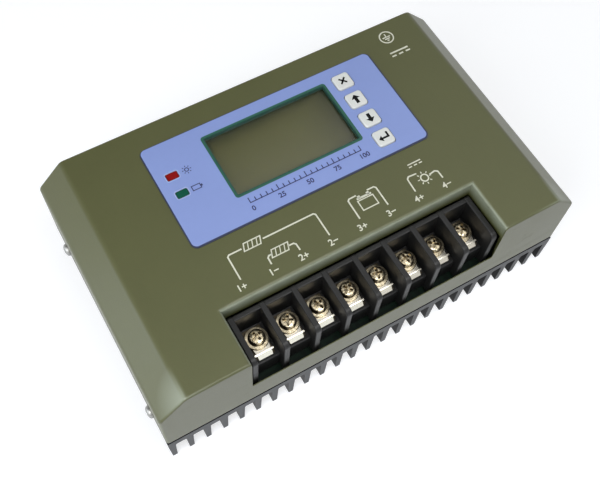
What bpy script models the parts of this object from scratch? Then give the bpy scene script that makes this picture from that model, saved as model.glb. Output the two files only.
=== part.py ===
"""Solar charge controller: finned heat sink, folded cover, display with keys, barrier terminals.

Metres, +Z up. The front, with the terminals, faces -Y. The origin is the middle of the
footprint, on the surface that the fins stand on.
"""

import math

import bmesh
import bpy
from mathutils import Matrix

# Clearances
FIT_GAP = 0.0003  # between pieces that seat on each other or pass through each other
GLUE_LAYER = 0.0001  # under the face label
CUT_OVER = 0.0010  # how far a cutting shape runs past the faces it opens

# Heat sink
FIN_COUNT = 25
FIN_HEIGHT = 0.0150
FIN_TIP = 0.0022
FIN_ROOT = 0.0034
BASE_THICKNESS = 0.0056
SHADOW_GAP = 0.0008  # dark line between the base and the cover's lower edge
RAIL_THICKNESS = 0.0040
RAIL_HEIGHT = 0.0100

# Cover
COVER_WIDTH = 0.2000
COVER_DEPTH = 0.1184
COVER_HEIGHT = 0.0427
COVER_WALL = 0.0012
COVER_SLOPE = 0.0120  # the sloped shoulders at both ends, as far across as down
LIP_HEIGHT = 0.0065
SILL_HEIGHT = 0.0158  # front wall left standing below the terminals

# Cover screws
COVER_SCREW_FRONT = 0.0142  # from the front face to the front screws
COVER_SCREW_SPACING = 0.0850
COVER_SCREW_HEIGHT = 0.0050  # above the cover's lower edge
COVER_SCREW_SHANK = 0.0030
COVER_SCREW_HEAD = 0.0058
COVER_SCREW_HEAD_HEIGHT = 0.0021

# Face label and display
WINDOW_WIDTH = 0.0602
WINDOW_DEPTH = 0.0321
WINDOW_CORNER = 0.0006
LABEL_SIDE = 0.0274  # label beside the window
LABEL_FRONT = 0.0139  # label in front of the window
LABEL_BACK = 0.0070  # label behind the window
LABEL_CORNER = 0.0030
LABEL_THICKNESS = 0.0003
LABEL_TO_BACK = 0.0121  # cover behind the label
LENS_RIM = 0.0020
LENS_THICKNESS = 0.0005
FRAME_RIM = 0.0029
FRAME_SHEET = 0.0005
LCD_THICKNESS = 0.0055
BOARD_THICKNESS = 0.0016
DISPLAY_BOARD_INSET = 0.0010  # display board inside the label's outline

# Posts that carry the display board
POST_DIAMETER = 0.0060
POST_PIN = 0.0025
POST_PIN_REACH = 0.0015  # below the display board
POST_INSET = 0.0040  # from the display board's edges

# Keys and their switches
KEY_NAMES = ("esc", "up", "down", "enter")
KEY_WIDTH = 0.0083
KEY_DEPTH = 0.0081
KEY_CORNER = 0.0015
KEY_PITCH = 0.0114
KEY_FROM_WINDOW = 0.0090  # from the window's edge to the middle of the key column
KEY_RISE = 0.0008
KEY_TRAVEL = 0.00045
KEY_EAR = 0.0008  # the flange that keeps a key under the cover
KEY_FLANGE = 0.0012
KEY_STEM = 0.0034
SWITCH_SIDE = 0.0062
SWITCH_FLOOR = 0.0014

# Indicators
LED_NAMES = ("charge_led", "battery_led")
LED_WIDTH = 0.0050
LED_DEPTH = 0.0031
LED_CORNER = 0.0004
LED_PITCH = 0.0096
LED_FROM_WINDOW = 0.0196  # from the window's edge to the middle of the indicator column
LED_COLUMN_SHIFT = 0.0008  # behind the window's middle
LED_COLLAR = 0.0008
LED_COLLAR_HEIGHT = 0.0020

# Main board
STANDOFF_HEIGHT = 0.0085
STANDOFF_DIAMETER = 0.0060
STANDOFF_PIN = 0.0026
STANDOFF_PIN_REACH = 0.0015  # above the board
STANDOFF_FOOT = 0.0030  # pressed into the base
STANDOFF_INSET = 0.0060  # from the board's edges
BOARD_EDGE_GAP = 0.0008

# Terminal block
TERMINAL_COUNT = 8
TERMINAL_PITCH = 0.0144
BARRIER_THICKNESS = 0.0026
BARRIER_HEIGHT = 0.0145  # above the deck
BARRIER_NOSE = 0.0035  # in front of the deck
BARRIER_SLOPE = 0.0026  # cut off the barrier's top front corner
BLOCK_DEPTH = 0.0222
BLOCK_REAR_WALL = 0.0025
BLOCK_FRONT_GAP = 0.0005  # to the cover's front wall
DECK_HEIGHT = 0.0108
NOTCH_REAR_GAP = 0.0010
NOTCH_SIDE_GAP = 0.0011

# Terminal screws, clamps and contacts
SCREW_SETBACK = 0.0125  # from the barriers' noses to the screws
SCREW_SHANK = 0.0040
SCREW_LENGTH = 0.0100
SCREW_HEAD = 0.0084
SCREW_HEAD_HEIGHT = 0.0031
SCREW_RECESS_WIDTH = 0.0012
SCREW_RECESS_LENGTH = 0.0056
SCREW_RECESS_DEPTH = 0.0014
CONTACT_WIDTH = 0.0086
CONTACT_THICKNESS = 0.0015
CONTACT_FRONT = 0.0075  # from the screw to the contact's front edge
CONTACT_REAR = 0.0058
CONTACT_TAIL_REACH = 0.0010  # below the main board
CLAMP_WIDTH = 0.0084
CLAMP_THICKNESS = 0.0013
CLAMP_REAR = 0.0048
CLAMP_LIP = 0.0012
CLAMP_REST_GAP = 0.0005  # above the contact when screwed home

# Power parts
TRANSISTOR_COUNT = 4
TRANSISTOR_PITCH = 0.0230
TRANSISTOR_WIDTH = 0.0102
TRANSISTOR_BODY = 0.0092
TRANSISTOR_HEIGHT = 0.0044
TAB_LENGTH = 0.0064
TAB_THICKNESS = 0.0013
LEG_SIDE = 0.0008
LEG_PITCH = 0.0025
LEG_RUN = 0.0030
LEG_REACH = 0.0010  # above the main board
PAD_THICKNESS = 0.0003
PAD_MARGIN = 0.0020
BAR_WIDTH = 0.0060
BAR_THICKNESS = 0.0014
BAR_END_GAP = 0.0020
CAPACITOR_DIAMETER = 0.0127
CAPACITOR_HEIGHT = 0.0210
CAPACITOR_FROM_SIDE = 0.0240
CAPACITOR_FROM_BACK = 0.0300

# Ribbon cable
RIBBON_WIDTH = 0.0200
RIBBON_THICKNESS = 0.0009
RIBBON_BULGE = 0.0050
RIBBON_STEPS = 12

# Screw heads, as shares of the head's radius or height
HEAD_EDGE_SHARE = 0.6  # height of the straight edge
PAN_TOP_SHARE = 0.7  # radius of a cover screw's flat top
PAN_RECESS_WIDTH_SHARE = 0.35
PAN_RECESS_LENGTH_SHARE = 1.2
CROWN_HEIGHT_SHARE = 0.9
CROWN_RADIUS_SHARE = 0.85
CROWN_TOP_SHARE = 0.55  # radius of a terminal screw's flat top

# Facets
ROUND_SIDES = 20
CORNER_STEPS = 4
SHARP_DEGREES = 30  # edges turning more than this are shaded sharp

# Levels, from the ground up
BASE_TOP = FIN_HEIGHT + BASE_THICKNESS
COVER_BOTTOM = BASE_TOP + SHADOW_GAP
COVER_TOP = COVER_BOTTOM + COVER_HEIGHT
PLATE_UNDERSIDE = COVER_TOP - COVER_WALL
LABEL_BOTTOM = COVER_TOP + GLUE_LAYER
LABEL_TOP = LABEL_BOTTOM + LABEL_THICKNESS
LENS_TOP = PLATE_UNDERSIDE - FIT_GAP
FRAME_TOP = LENS_TOP - LENS_THICKNESS - FIT_GAP
LCD_TOP = FRAME_TOP - FRAME_SHEET - FIT_GAP
DISPLAY_BOARD_TOP = LCD_TOP - LCD_THICKNESS - FIT_GAP
DISPLAY_BOARD_BOTTOM = DISPLAY_BOARD_TOP - BOARD_THICKNESS
BOARD_BOTTOM = BASE_TOP + STANDOFF_HEIGHT + 2 * FIT_GAP
BOARD_TOP = BOARD_BOTTOM + BOARD_THICKNESS
BLOCK_BOTTOM = BOARD_TOP + FIT_GAP
DECK = BLOCK_BOTTOM + DECK_HEIGHT
BARRIER_TOP = DECK + BARRIER_HEIGHT
CONTACT_BOTTOM = DECK + FIT_GAP
CONTACT_TOP = CONTACT_BOTTOM + CONTACT_THICKNESS
CLAMP_BOTTOM = CONTACT_TOP + CLAMP_REST_GAP
CLAMP_TOP = CLAMP_BOTTOM + CLAMP_THICKNESS
SCREW_SEAT = CLAMP_TOP + FIT_GAP
FLANGE_TOP = PLATE_UNDERSIDE - FIT_GAP
FLANGE_BOTTOM = FLANGE_TOP - KEY_FLANGE
SWITCH_BOTTOM = DISPLAY_BOARD_TOP + FIT_GAP
SWITCH_TOP = FLANGE_BOTTOM - KEY_TRAVEL - FIT_GAP
STEM_END = SWITCH_BOTTOM + SWITCH_FLOOR + KEY_TRAVEL + FIT_GAP

# Places in plan
SIDE = COVER_WIDTH / 2
FRONT = -COVER_DEPTH / 2
BACK = COVER_DEPTH / 2
INNER_SIDE = SIDE - COVER_WALL
INNER_FRONT = FRONT + COVER_WALL
INNER_BACK = BACK - COVER_WALL
RAIL_OUTER = INNER_SIDE - FIT_GAP
RAIL_INNER = RAIL_OUTER - RAIL_THICKNESS
BOARD_SIDE = RAIL_INNER - BOARD_EDGE_GAP
BOARD_FRONT = INNER_FRONT + BOARD_EDGE_GAP
BOARD_BACK = INNER_BACK - BOARD_EDGE_GAP

LABEL_WIDTH = WINDOW_WIDTH + 2 * LABEL_SIDE
LABEL_DEPTH = LABEL_FRONT + WINDOW_DEPTH + LABEL_BACK
LABEL_Y = BACK - LABEL_TO_BACK - LABEL_DEPTH / 2
WINDOW_Y = BACK - LABEL_TO_BACK - LABEL_BACK - WINDOW_DEPTH / 2
KEY_X = WINDOW_WIDTH / 2 + KEY_FROM_WINDOW
LED_X = -WINDOW_WIDTH / 2 - LED_FROM_WINDOW
DISPLAY_BOARD_SIDE = LABEL_WIDTH / 2 - DISPLAY_BOARD_INSET
DISPLAY_BOARD_REACH = LABEL_DEPTH / 2 - DISPLAY_BOARD_INSET

NOSE = INNER_FRONT + BLOCK_FRONT_GAP
DECK_FRONT = NOSE + BARRIER_NOSE
BLOCK_REAR = NOSE + BLOCK_DEPTH
BLOCK_SIDE = (TERMINAL_COUNT * TERMINAL_PITCH + BARRIER_THICKNESS) / 2
BAY_WIDTH = TERMINAL_PITCH - BARRIER_THICKNESS
SCREW_Y = NOSE + SCREW_SETBACK
NOTCH_SIDE = BLOCK_SIDE + NOTCH_SIDE_GAP
NOTCH_BACK = BLOCK_REAR + NOTCH_REAR_GAP
TERMINALS = [
    (number - (TERMINAL_COUNT - 1) / 2) * TERMINAL_PITCH for number in range(TERMINAL_COUNT)
]
CONTACT_TAIL_REAR = SCREW_Y + CONTACT_REAR
CONTACT_TAIL_FRONT = CONTACT_TAIL_REAR - CONTACT_THICKNESS

BAR_SIDE = ((TRANSISTOR_COUNT - 1) * TRANSISTOR_PITCH + TRANSISTOR_WIDTH) / 2 + BAR_END_GAP
PAD_BOTTOM = BASE_TOP + FIT_GAP
TRANSISTOR_BOTTOM = PAD_BOTTOM + PAD_THICKNESS + FIT_GAP
TRANSISTORS = [
    (number - (TRANSISTOR_COUNT - 1) / 2) * TRANSISTOR_PITCH for number in range(TRANSISTOR_COUNT)
]
LEG_Y = -TRANSISTOR_BODY / 2 - LEG_RUN


def mesh_from(points, faces):
    """A mesh whose faces all point outwards."""
    mesh = bpy.data.meshes.new("shape")
    mesh.from_pydata(points, [], faces)
    shape = bmesh.new()
    shape.from_mesh(mesh)
    bmesh.ops.recalc_face_normals(shape, faces=shape.faces)
    shape.to_mesh(mesh)
    shape.free()
    return mesh


def prism(outline, low, high, along="Z"):
    """A flat outline carried from low to high along one axis."""
    planes = {"X": (1, 2, 0), "Y": (0, 2, 1), "Z": (0, 1, 2)}
    across, up, forward = planes[along]
    points = []
    for level in (low, high):
        for first, second in outline:
            point = [0.0, 0.0, 0.0]
            point[across] = first
            point[up] = second
            point[forward] = level
            points.append(point)
    count = len(outline)
    faces = [list(range(count)), list(range(count, 2 * count))]
    for start in range(count):
        end = (start + 1) % count
        faces.append([start, end, end + count, start + count])
    return mesh_from(points, faces)


def box(low, high):
    """A block between two opposite corners."""
    outline = [(low[0], low[1]), (high[0], low[1]), (high[0], high[1]), (low[0], high[1])]
    return prism(outline, low[2], high[2])


def turned(profile):
    """A solid of revolution about Z. The profile lists (radius, z) from one end to the other."""
    points = []
    rings = []
    for radius, level in profile:
        sides = ROUND_SIDES if radius > 0 else 1
        rings.append([len(points) + side for side in range(sides)])
        for side in range(sides):
            angle = 2 * math.pi * side / ROUND_SIDES
            points.append((radius * math.cos(angle), radius * math.sin(angle), level))
    faces = []
    for lower, upper in zip(rings, rings[1:]):
        for side in range(ROUND_SIDES):
            after = side + 1
            corners = [
                lower[side % len(lower)],
                lower[after % len(lower)],
                upper[after % len(upper)],
                upper[side % len(upper)],
            ]
            faces.append(list(dict.fromkeys(corners)))
    return mesh_from(points, faces)


def cylinder(diameter, low, high):
    """A round bar along Z."""
    radius = diameter / 2
    return turned([(0, low), (radius, low), (radius, high), (0, high)])


def rounded_rectangle(width, depth, radius, centre=(0.0, 0.0)):
    """The outline of a rectangle with round corners."""
    outline = []
    quarters = ((1, 1), (-1, 1), (-1, -1), (1, -1))
    for quarter, (right, back) in enumerate(quarters):
        middle_x = centre[0] + right * (width / 2 - radius)
        middle_y = centre[1] + back * (depth / 2 - radius)
        for step in range(CORNER_STEPS + 1):
            angle = math.pi / 2 * (quarter + step / CORNER_STEPS)
            outline.append((middle_x + radius * math.cos(angle), middle_y + radius * math.sin(angle)))
    return outline


def moved(mesh, place):
    """The same mesh shifted to a place."""
    mesh.transform(Matrix.Translation(place))
    return mesh


def together(meshes):
    """Several separate shapes in one mesh, to cut or join in one go."""
    shape = bmesh.new()
    for mesh in meshes:
        shape.from_mesh(mesh)
        bpy.data.meshes.remove(mesh)
    joined = bpy.data.meshes.new("shapes")
    shape.to_mesh(joined)
    shape.free()
    return joined


def combined(mesh, tool, operation):
    """The mesh after a Boolean with a tool shape."""
    part = bpy.data.objects.new("part", mesh)
    helper = bpy.data.objects.new("tool", tool)
    for item in (part, helper):
        bpy.context.scene.collection.objects.link(item)
    boolean = part.modifiers.new("boolean", "BOOLEAN")
    boolean.operation = operation
    boolean.object = helper
    graph = bpy.context.evaluated_depsgraph_get()
    result = bpy.data.meshes.new_from_object(part.evaluated_get(graph))
    for item in (part, helper):
        bpy.data.objects.remove(item)
    bpy.data.meshes.remove(mesh)
    bpy.data.meshes.remove(tool)
    return result


def cut(mesh, *tools):
    """The mesh with tool shapes cut out of it."""
    return combined(mesh, together(tools), "DIFFERENCE")


def join(mesh, *tools):
    """The mesh with tool shapes fused to it. The tools may not overlap each other."""
    return combined(mesh, together(tools), "UNION")


def add_part(name, mesh, finish, place=(0.0, 0.0, 0.0), parent=None):
    """One named piece with its material, shaded smooth across shallow edges."""
    colour, roughness, metallic = finish
    material = bpy.data.materials.new(name)
    material.use_nodes = True
    shader = material.node_tree.nodes["Principled BSDF"]
    shader.inputs["Base Color"].default_value = (*colour, 1.0)
    shader.inputs["Roughness"].default_value = roughness
    shader.inputs["Metallic"].default_value = metallic
    mesh.name = name
    mesh.materials.clear()
    mesh.materials.append(material)
    mesh.shade_smooth()
    mesh.set_sharp_from_angle(angle=math.radians(SHARP_DEGREES))
    piece = bpy.data.objects.new(name, mesh)
    bpy.context.scene.collection.objects.link(piece)
    piece.location = place
    piece.parent = parent or bpy.data.objects["charge_controller"]
    return piece


# Finishes: colour, roughness and metallic value
OLIVE_PAINT = ((0.115, 0.115, 0.055), 0.55, 0.0)
BLACK_ANODISED = ((0.055, 0.057, 0.066), 0.45, 0.7)
BLACK_MOULDED = ((0.020, 0.020, 0.019), 0.50, 0.0)
PLATED_STEEL = ((0.68, 0.66, 0.60), 0.28, 1.0)
PLATED_BRASS = ((0.62, 0.53, 0.34), 0.32, 1.0)
LABEL_FILM = ((0.29, 0.35, 0.66), 0.45, 0.0)
CLEAR_SHEET = ((0.80, 0.82, 0.80), 0.10, 0.0)
LCD_GLASS = ((0.105, 0.093, 0.062), 0.30, 0.0)
KEY_RUBBER = ((0.74, 0.71, 0.62), 0.55, 0.0)
RED_LENS = ((0.42, 0.010, 0.014), 0.30, 0.0)
GREEN_LENS = ((0.010, 0.150, 0.075), 0.30, 0.0)
GREEN_BOARD = ((0.010, 0.060, 0.030), 0.45, 0.0)
WHITE_NYLON = ((0.75, 0.74, 0.68), 0.50, 0.0)
GREY_SILICONE = ((0.35, 0.36, 0.37), 0.70, 0.0)
GREY_CABLE = ((0.30, 0.31, 0.33), 0.60, 0.0)
BLUE_SLEEVE = ((0.03, 0.05, 0.14), 0.40, 0.0)


def both_sides(value):
    """A distance to the left and to the right of the middle."""
    return (-value, value)


def standoff_places():
    """Where the main board is held, in plan."""
    across = BOARD_SIDE - STANDOFF_INSET
    return [
        (side, y)
        for side in both_sides(across)
        for y in (BOARD_FRONT + STANDOFF_INSET, BOARD_BACK - STANDOFF_INSET)
    ]


def post_places():
    """Where the display board is held, in plan."""
    across = DISPLAY_BOARD_SIDE - POST_INSET
    reach = DISPLAY_BOARD_REACH - POST_INSET
    return [(side, LABEL_Y + y) for side in both_sides(across) for y in both_sides(reach)]


def key_places():
    """The middle of each key in plan, from the back to the front."""
    middle = (len(KEY_NAMES) - 1) / 2
    return [(KEY_X, LABEL_Y + (middle - number) * KEY_PITCH) for number in range(len(KEY_NAMES))]


def led_places():
    """The middle of each indicator in plan, from the back to the front."""
    column = WINDOW_Y + LED_COLUMN_SHIFT
    middle = (len(LED_NAMES) - 1) / 2
    return [(LED_X, column + (middle - number) * LED_PITCH) for number in range(len(LED_NAMES))]


def cover_screw_places():
    """The side screws as (side, y), where side is -1 for the left wall and 1 for the right."""
    front_screw = FRONT + COVER_SCREW_FRONT
    return [(side, y) for side in (-1, 1) for y in (front_screw, front_screw + COVER_SCREW_SPACING)]


def cover_screw_holes():
    """Bars along X that open the cover's side walls and the rails behind them."""
    turn = Matrix.Rotation(math.pi / 2, 4, "Y")
    holes = []
    for side, y in cover_screw_places():
        bar = cylinder(COVER_SCREW_SHANK + 2 * FIT_GAP, RAIL_INNER - CUT_OVER, SIDE + CUT_OVER)
        bar.transform(turn)
        if side < 0:
            bar.transform(Matrix.Rotation(math.pi, 4, "Z"))
        holes.append(moved(bar, (0, y, COVER_BOTTOM + COVER_SCREW_HEIGHT)))
    return holes


def face_openings(low, high):
    """Shapes that open the cover's top and the label for the window, keys and indicators."""
    window = rounded_rectangle(WINDOW_WIDTH, WINDOW_DEPTH, WINDOW_CORNER, (0, WINDOW_Y))
    shapes = [prism(window, low, high)]
    for place in key_places():
        opening = rounded_rectangle(
            KEY_WIDTH + 2 * FIT_GAP, KEY_DEPTH + 2 * FIT_GAP, KEY_CORNER + FIT_GAP, place
        )
        shapes.append(prism(opening, low, high))
    for place in led_places():
        opening = rounded_rectangle(
            LED_WIDTH + 2 * FIT_GAP, LED_DEPTH + 2 * FIT_GAP, LED_CORNER + FIT_GAP, place
        )
        shapes.append(prism(opening, low, high))
    return shapes


def tail_slots(low, high):
    """Slots for the contacts' tails through the terminal block and the main board."""
    half = CONTACT_WIDTH / 2 + FIT_GAP
    return [
        box(
            (x - half, CONTACT_TAIL_FRONT - FIT_GAP, low),
            (x + half, CONTACT_TAIL_REAR + FIT_GAP, high),
        )
        for x in TERMINALS
    ]


def make_heat_sink():
    """Fins and base as one extruded section, with a screw rail inside each cover wall."""
    pitch = (COVER_WIDTH - FIN_ROOT) / (FIN_COUNT - 1)
    section = []
    for number in range(FIN_COUNT):
        middle = -SIDE + FIN_ROOT / 2 + number * pitch
        section.append((middle - FIN_ROOT / 2, FIN_HEIGHT))
        section.append((middle - FIN_TIP / 2, 0.0))
        section.append((middle + FIN_TIP / 2, 0.0))
        section.append((middle + FIN_ROOT / 2, FIN_HEIGHT))
    section.append((SIDE, BASE_TOP))
    section.append((-SIDE, BASE_TOP))
    mesh = prism(section, FRONT, BACK, "Y")
    rails = []
    for near, far in ((-RAIL_OUTER, -RAIL_INNER), (RAIL_INNER, RAIL_OUTER)):
        low = (near, INNER_FRONT + FIT_GAP, BASE_TOP - CUT_OVER)
        rails.append(box(low, (far, INNER_BACK - FIT_GAP, BASE_TOP + RAIL_HEIGHT)))
    mesh = join(mesh, *rails)
    hole_end = BASE_TOP - STANDOFF_FOOT - FIT_GAP
    foot_hole = cylinder(STANDOFF_PIN + 2 * FIT_GAP, hole_end, BASE_TOP + CUT_OVER)
    foot_holes = [moved(foot_hole.copy(), (x, y, 0)) for x, y in standoff_places()]
    mesh = cut(mesh, *foot_holes, *cover_screw_holes())
    add_part("heat_sink", mesh, BLACK_ANODISED)


def cover_section(inset, bottom):
    """The cover's outline seen from the front, moved inwards by a wall."""
    side = SIDE - inset
    top = COVER_TOP - inset
    slope = COVER_SLOPE - inset * (2 - math.sqrt(2))
    return [
        (-side, bottom),
        (-side, top - slope),
        (-side + slope, top),
        (side - slope, top),
        (side, top - slope),
        (side, bottom),
    ]


def make_top_cover():
    """A folded shell, open below, with a lipped notch for the terminals and display posts."""
    shell = prism(cover_section(0, COVER_BOTTOM), FRONT, BACK, "Y")
    hollow = prism(cover_section(COVER_WALL, COVER_BOTTOM - CUT_OVER), INNER_FRONT, INNER_BACK, "Y")
    lip_side = NOTCH_SIDE + COVER_WALL
    lip = box(
        (-lip_side, FRONT, COVER_TOP - LIP_HEIGHT),
        (lip_side, NOTCH_BACK + COVER_WALL, COVER_TOP),
    )
    mesh = cut(shell, cut(hollow, lip))
    notch = box(
        (-NOTCH_SIDE, FRONT - CUT_OVER, COVER_BOTTOM + SILL_HEIGHT),
        (NOTCH_SIDE, NOTCH_BACK, COVER_TOP + CUT_OVER),
    )
    openings = face_openings(PLATE_UNDERSIDE - CUT_OVER, COVER_TOP + CUT_OVER)
    mesh = cut(mesh, notch, *openings, *cover_screw_holes())
    shoulder = DISPLAY_BOARD_TOP + FIT_GAP
    pin_end = DISPLAY_BOARD_BOTTOM - POST_PIN_REACH
    post_top = PLATE_UNDERSIDE + COVER_WALL / 2
    post = [
        (0, pin_end),
        (POST_PIN / 2, pin_end),
        (POST_PIN / 2, shoulder),
        (POST_DIAMETER / 2, shoulder),
        (POST_DIAMETER / 2, post_top),
        (0, post_top),
    ]
    posts = [moved(turned(post), (x, y, 0)) for x, y in post_places()]
    add_part("top_cover", join(mesh, *posts), OLIVE_PAINT)


def cross_recess(width, length, low, high):
    """Two crossed slots sunk into a screw's head."""
    along = box((-length / 2, -width / 2, low), (length / 2, width / 2, high))
    across = box((-width / 2, -length / 2, low), (width / 2, length / 2, high))
    return combined(along, across, "UNION")


def make_cover_screws():
    """Pan-head screws through the cover's side walls into the rails."""
    reach = COVER_WALL + FIT_GAP + RAIL_THICKNESS
    radius = COVER_SCREW_HEAD / 2
    crown = COVER_SCREW_HEAD_HEIGHT * HEAD_EDGE_SHARE
    profile = [
        (0, -reach),
        (COVER_SCREW_SHANK / 2, -reach),
        (COVER_SCREW_SHANK / 2, FIT_GAP),
        (radius, FIT_GAP),
        (radius, FIT_GAP + crown),
        (radius * PAN_TOP_SHARE, FIT_GAP + COVER_SCREW_HEAD_HEIGHT),
        (0, FIT_GAP + COVER_SCREW_HEAD_HEIGHT),
    ]
    top = FIT_GAP + COVER_SCREW_HEAD_HEIGHT
    recess_width = radius * PAN_RECESS_WIDTH_SHARE
    recess_length = radius * PAN_RECESS_LENGTH_SHARE
    recess = cross_recess(recess_width, recess_length, top - crown, top + CUT_OVER)
    screw = cut(turned(profile), recess)
    for number, (side, y) in enumerate(cover_screw_places(), 1):
        mesh = screw.copy()
        mesh.transform(Matrix.Rotation(side * math.pi / 2, 4, "Y"))
        place = (side * SIDE, y, COVER_BOTTOM + COVER_SCREW_HEIGHT)
        add_part(f"cover_screw_{number}", mesh, PLATED_STEEL, place)


def make_face_label():
    """The printed film on the cover's top."""
    outline = rounded_rectangle(LABEL_WIDTH, LABEL_DEPTH, LABEL_CORNER, (0, LABEL_Y))
    mesh = prism(outline, LABEL_BOTTOM, LABEL_TOP)
    mesh = cut(mesh, *face_openings(LABEL_BOTTOM - CUT_OVER, LABEL_TOP + CUT_OVER))
    add_part("face_label", mesh, LABEL_FILM)


def window_box(rim, low, high):
    """A block around the window, wider than it by a rim all round."""
    half_width = WINDOW_WIDTH / 2 + rim
    half_depth = WINDOW_DEPTH / 2 + rim
    return box((-half_width, WINDOW_Y - half_depth, low), (half_width, WINDOW_Y + half_depth, high))


def make_display():
    """The clear window, the panel, its frame and the board that carries them."""
    lens = window_box(LENS_RIM, LENS_TOP - LENS_THICKNESS, LENS_TOP)
    add_part("display_window", lens, CLEAR_SHEET)

    frame_foot = DISPLAY_BOARD_TOP + FIT_GAP
    frame = window_box(FRAME_RIM, frame_foot, FRAME_TOP)
    inside = window_box(FRAME_RIM - FRAME_SHEET, frame_foot - CUT_OVER, FRAME_TOP - FRAME_SHEET)
    opening = window_box(0, FRAME_TOP - FRAME_SHEET - CUT_OVER, FRAME_TOP + CUT_OVER)
    add_part("lcd_frame", cut(cut(frame, inside), opening), PLATED_STEEL)

    panel = window_box(FRAME_RIM - FRAME_SHEET - FIT_GAP, LCD_TOP - LCD_THICKNESS, LCD_TOP)
    add_part("lcd_panel", panel, LCD_GLASS)

    board = box(
        (-DISPLAY_BOARD_SIDE, LABEL_Y - DISPLAY_BOARD_REACH, DISPLAY_BOARD_BOTTOM),
        (DISPLAY_BOARD_SIDE, LABEL_Y + DISPLAY_BOARD_REACH, DISPLAY_BOARD_TOP),
    )
    pin_holes = [
        moved(
            cylinder(
                POST_PIN + 2 * FIT_GAP, DISPLAY_BOARD_BOTTOM - CUT_OVER, DISPLAY_BOARD_TOP + CUT_OVER
            ),
            (x, y, 0),
        )
        for x, y in post_places()
    ]
    add_part("display_board", cut(board, *pin_holes), GREEN_BOARD)


def make_keys():
    """Four keys, each with ears under the cover and a stem that reaches into its switch."""
    cap = prism(
        rounded_rectangle(KEY_WIDTH, KEY_DEPTH, KEY_CORNER),
        FLANGE_BOTTOM + FIT_GAP,
        LABEL_TOP + KEY_RISE,
    )
    ear_side = KEY_WIDTH / 2 + KEY_EAR
    ear_depth = KEY_DEPTH / 2 - KEY_CORNER
    ears = box((-ear_side, -ear_depth, FLANGE_BOTTOM), (ear_side, ear_depth, FLANGE_TOP))
    stem = cylinder(KEY_STEM, STEM_END, FLANGE_BOTTOM + KEY_FLANGE / 2)
    key = join(join(cap, ears), stem)

    half = SWITCH_SIDE / 2
    switch = box((-half, -half, SWITCH_BOTTOM), (half, half, SWITCH_TOP))
    bore = cylinder(KEY_STEM + 2 * FIT_GAP, SWITCH_BOTTOM + SWITCH_FLOOR, SWITCH_TOP + CUT_OVER)
    switch = cut(switch, bore)

    for name, (x, y) in zip(KEY_NAMES, key_places()):
        add_part(f"{name}_key", key.copy(), KEY_RUBBER, (x, y, 0))
        add_part(f"{name}_switch", switch.copy(), BLACK_MOULDED, (x, y, 0))


def make_indicators():
    """Two indicator lenses that stand on the display board and end flush with the label."""
    foot = DISPLAY_BOARD_TOP + FIT_GAP
    lens = prism(rounded_rectangle(LED_WIDTH, LED_DEPTH, LED_CORNER), foot + FIT_GAP, LABEL_TOP)
    collar_side = LED_WIDTH / 2 + LED_COLLAR
    collar_reach = LED_DEPTH / 2 + LED_COLLAR
    collar = box(
        (-collar_side, -collar_reach, foot), (collar_side, collar_reach, foot + LED_COLLAR_HEIGHT)
    )
    indicator = join(lens, collar)
    for name, finish, (x, y) in zip(LED_NAMES, (RED_LENS, GREEN_LENS), led_places()):
        add_part(name, indicator.copy(), finish, (x, y, 0))


def make_main_board():
    """The power board on its four standoffs."""
    board = box((-BOARD_SIDE, BOARD_FRONT, BOARD_BOTTOM), (BOARD_SIDE, BOARD_BACK, BOARD_TOP))
    low = BOARD_BOTTOM - CUT_OVER
    high = BOARD_TOP + CUT_OVER
    pin_holes = [
        moved(cylinder(STANDOFF_PIN + 2 * FIT_GAP, low, high), (x, y, 0)) for x, y in standoff_places()
    ]
    legs = LEG_PITCH + LEG_SIDE / 2 + FIT_GAP
    leg_slots = [
        box((x - legs, LEG_Y - FIT_GAP, low), (x + legs, LEG_Y + LEG_SIDE + FIT_GAP, high))
        for x in TRANSISTORS
    ]
    board = cut(board, *pin_holes, *leg_slots, *tail_slots(low, high))
    add_part("main_board", board, GREEN_BOARD)

    foot = BASE_TOP + FIT_GAP
    pin_top = BOARD_TOP + STANDOFF_PIN_REACH
    profile = [
        (0, BASE_TOP - STANDOFF_FOOT),
        (STANDOFF_PIN / 2, BASE_TOP - STANDOFF_FOOT),
        (STANDOFF_PIN / 2, foot),
        (STANDOFF_DIAMETER / 2, foot),
        (STANDOFF_DIAMETER / 2, foot + STANDOFF_HEIGHT),
        (STANDOFF_PIN / 2, foot + STANDOFF_HEIGHT),
        (STANDOFF_PIN / 2, pin_top),
        (0, pin_top),
    ]
    for number, (x, y) in enumerate(standoff_places(), 1):
        add_part(f"board_standoff_{number}", turned(profile), WHITE_NYLON, (x, y, 0))


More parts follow.
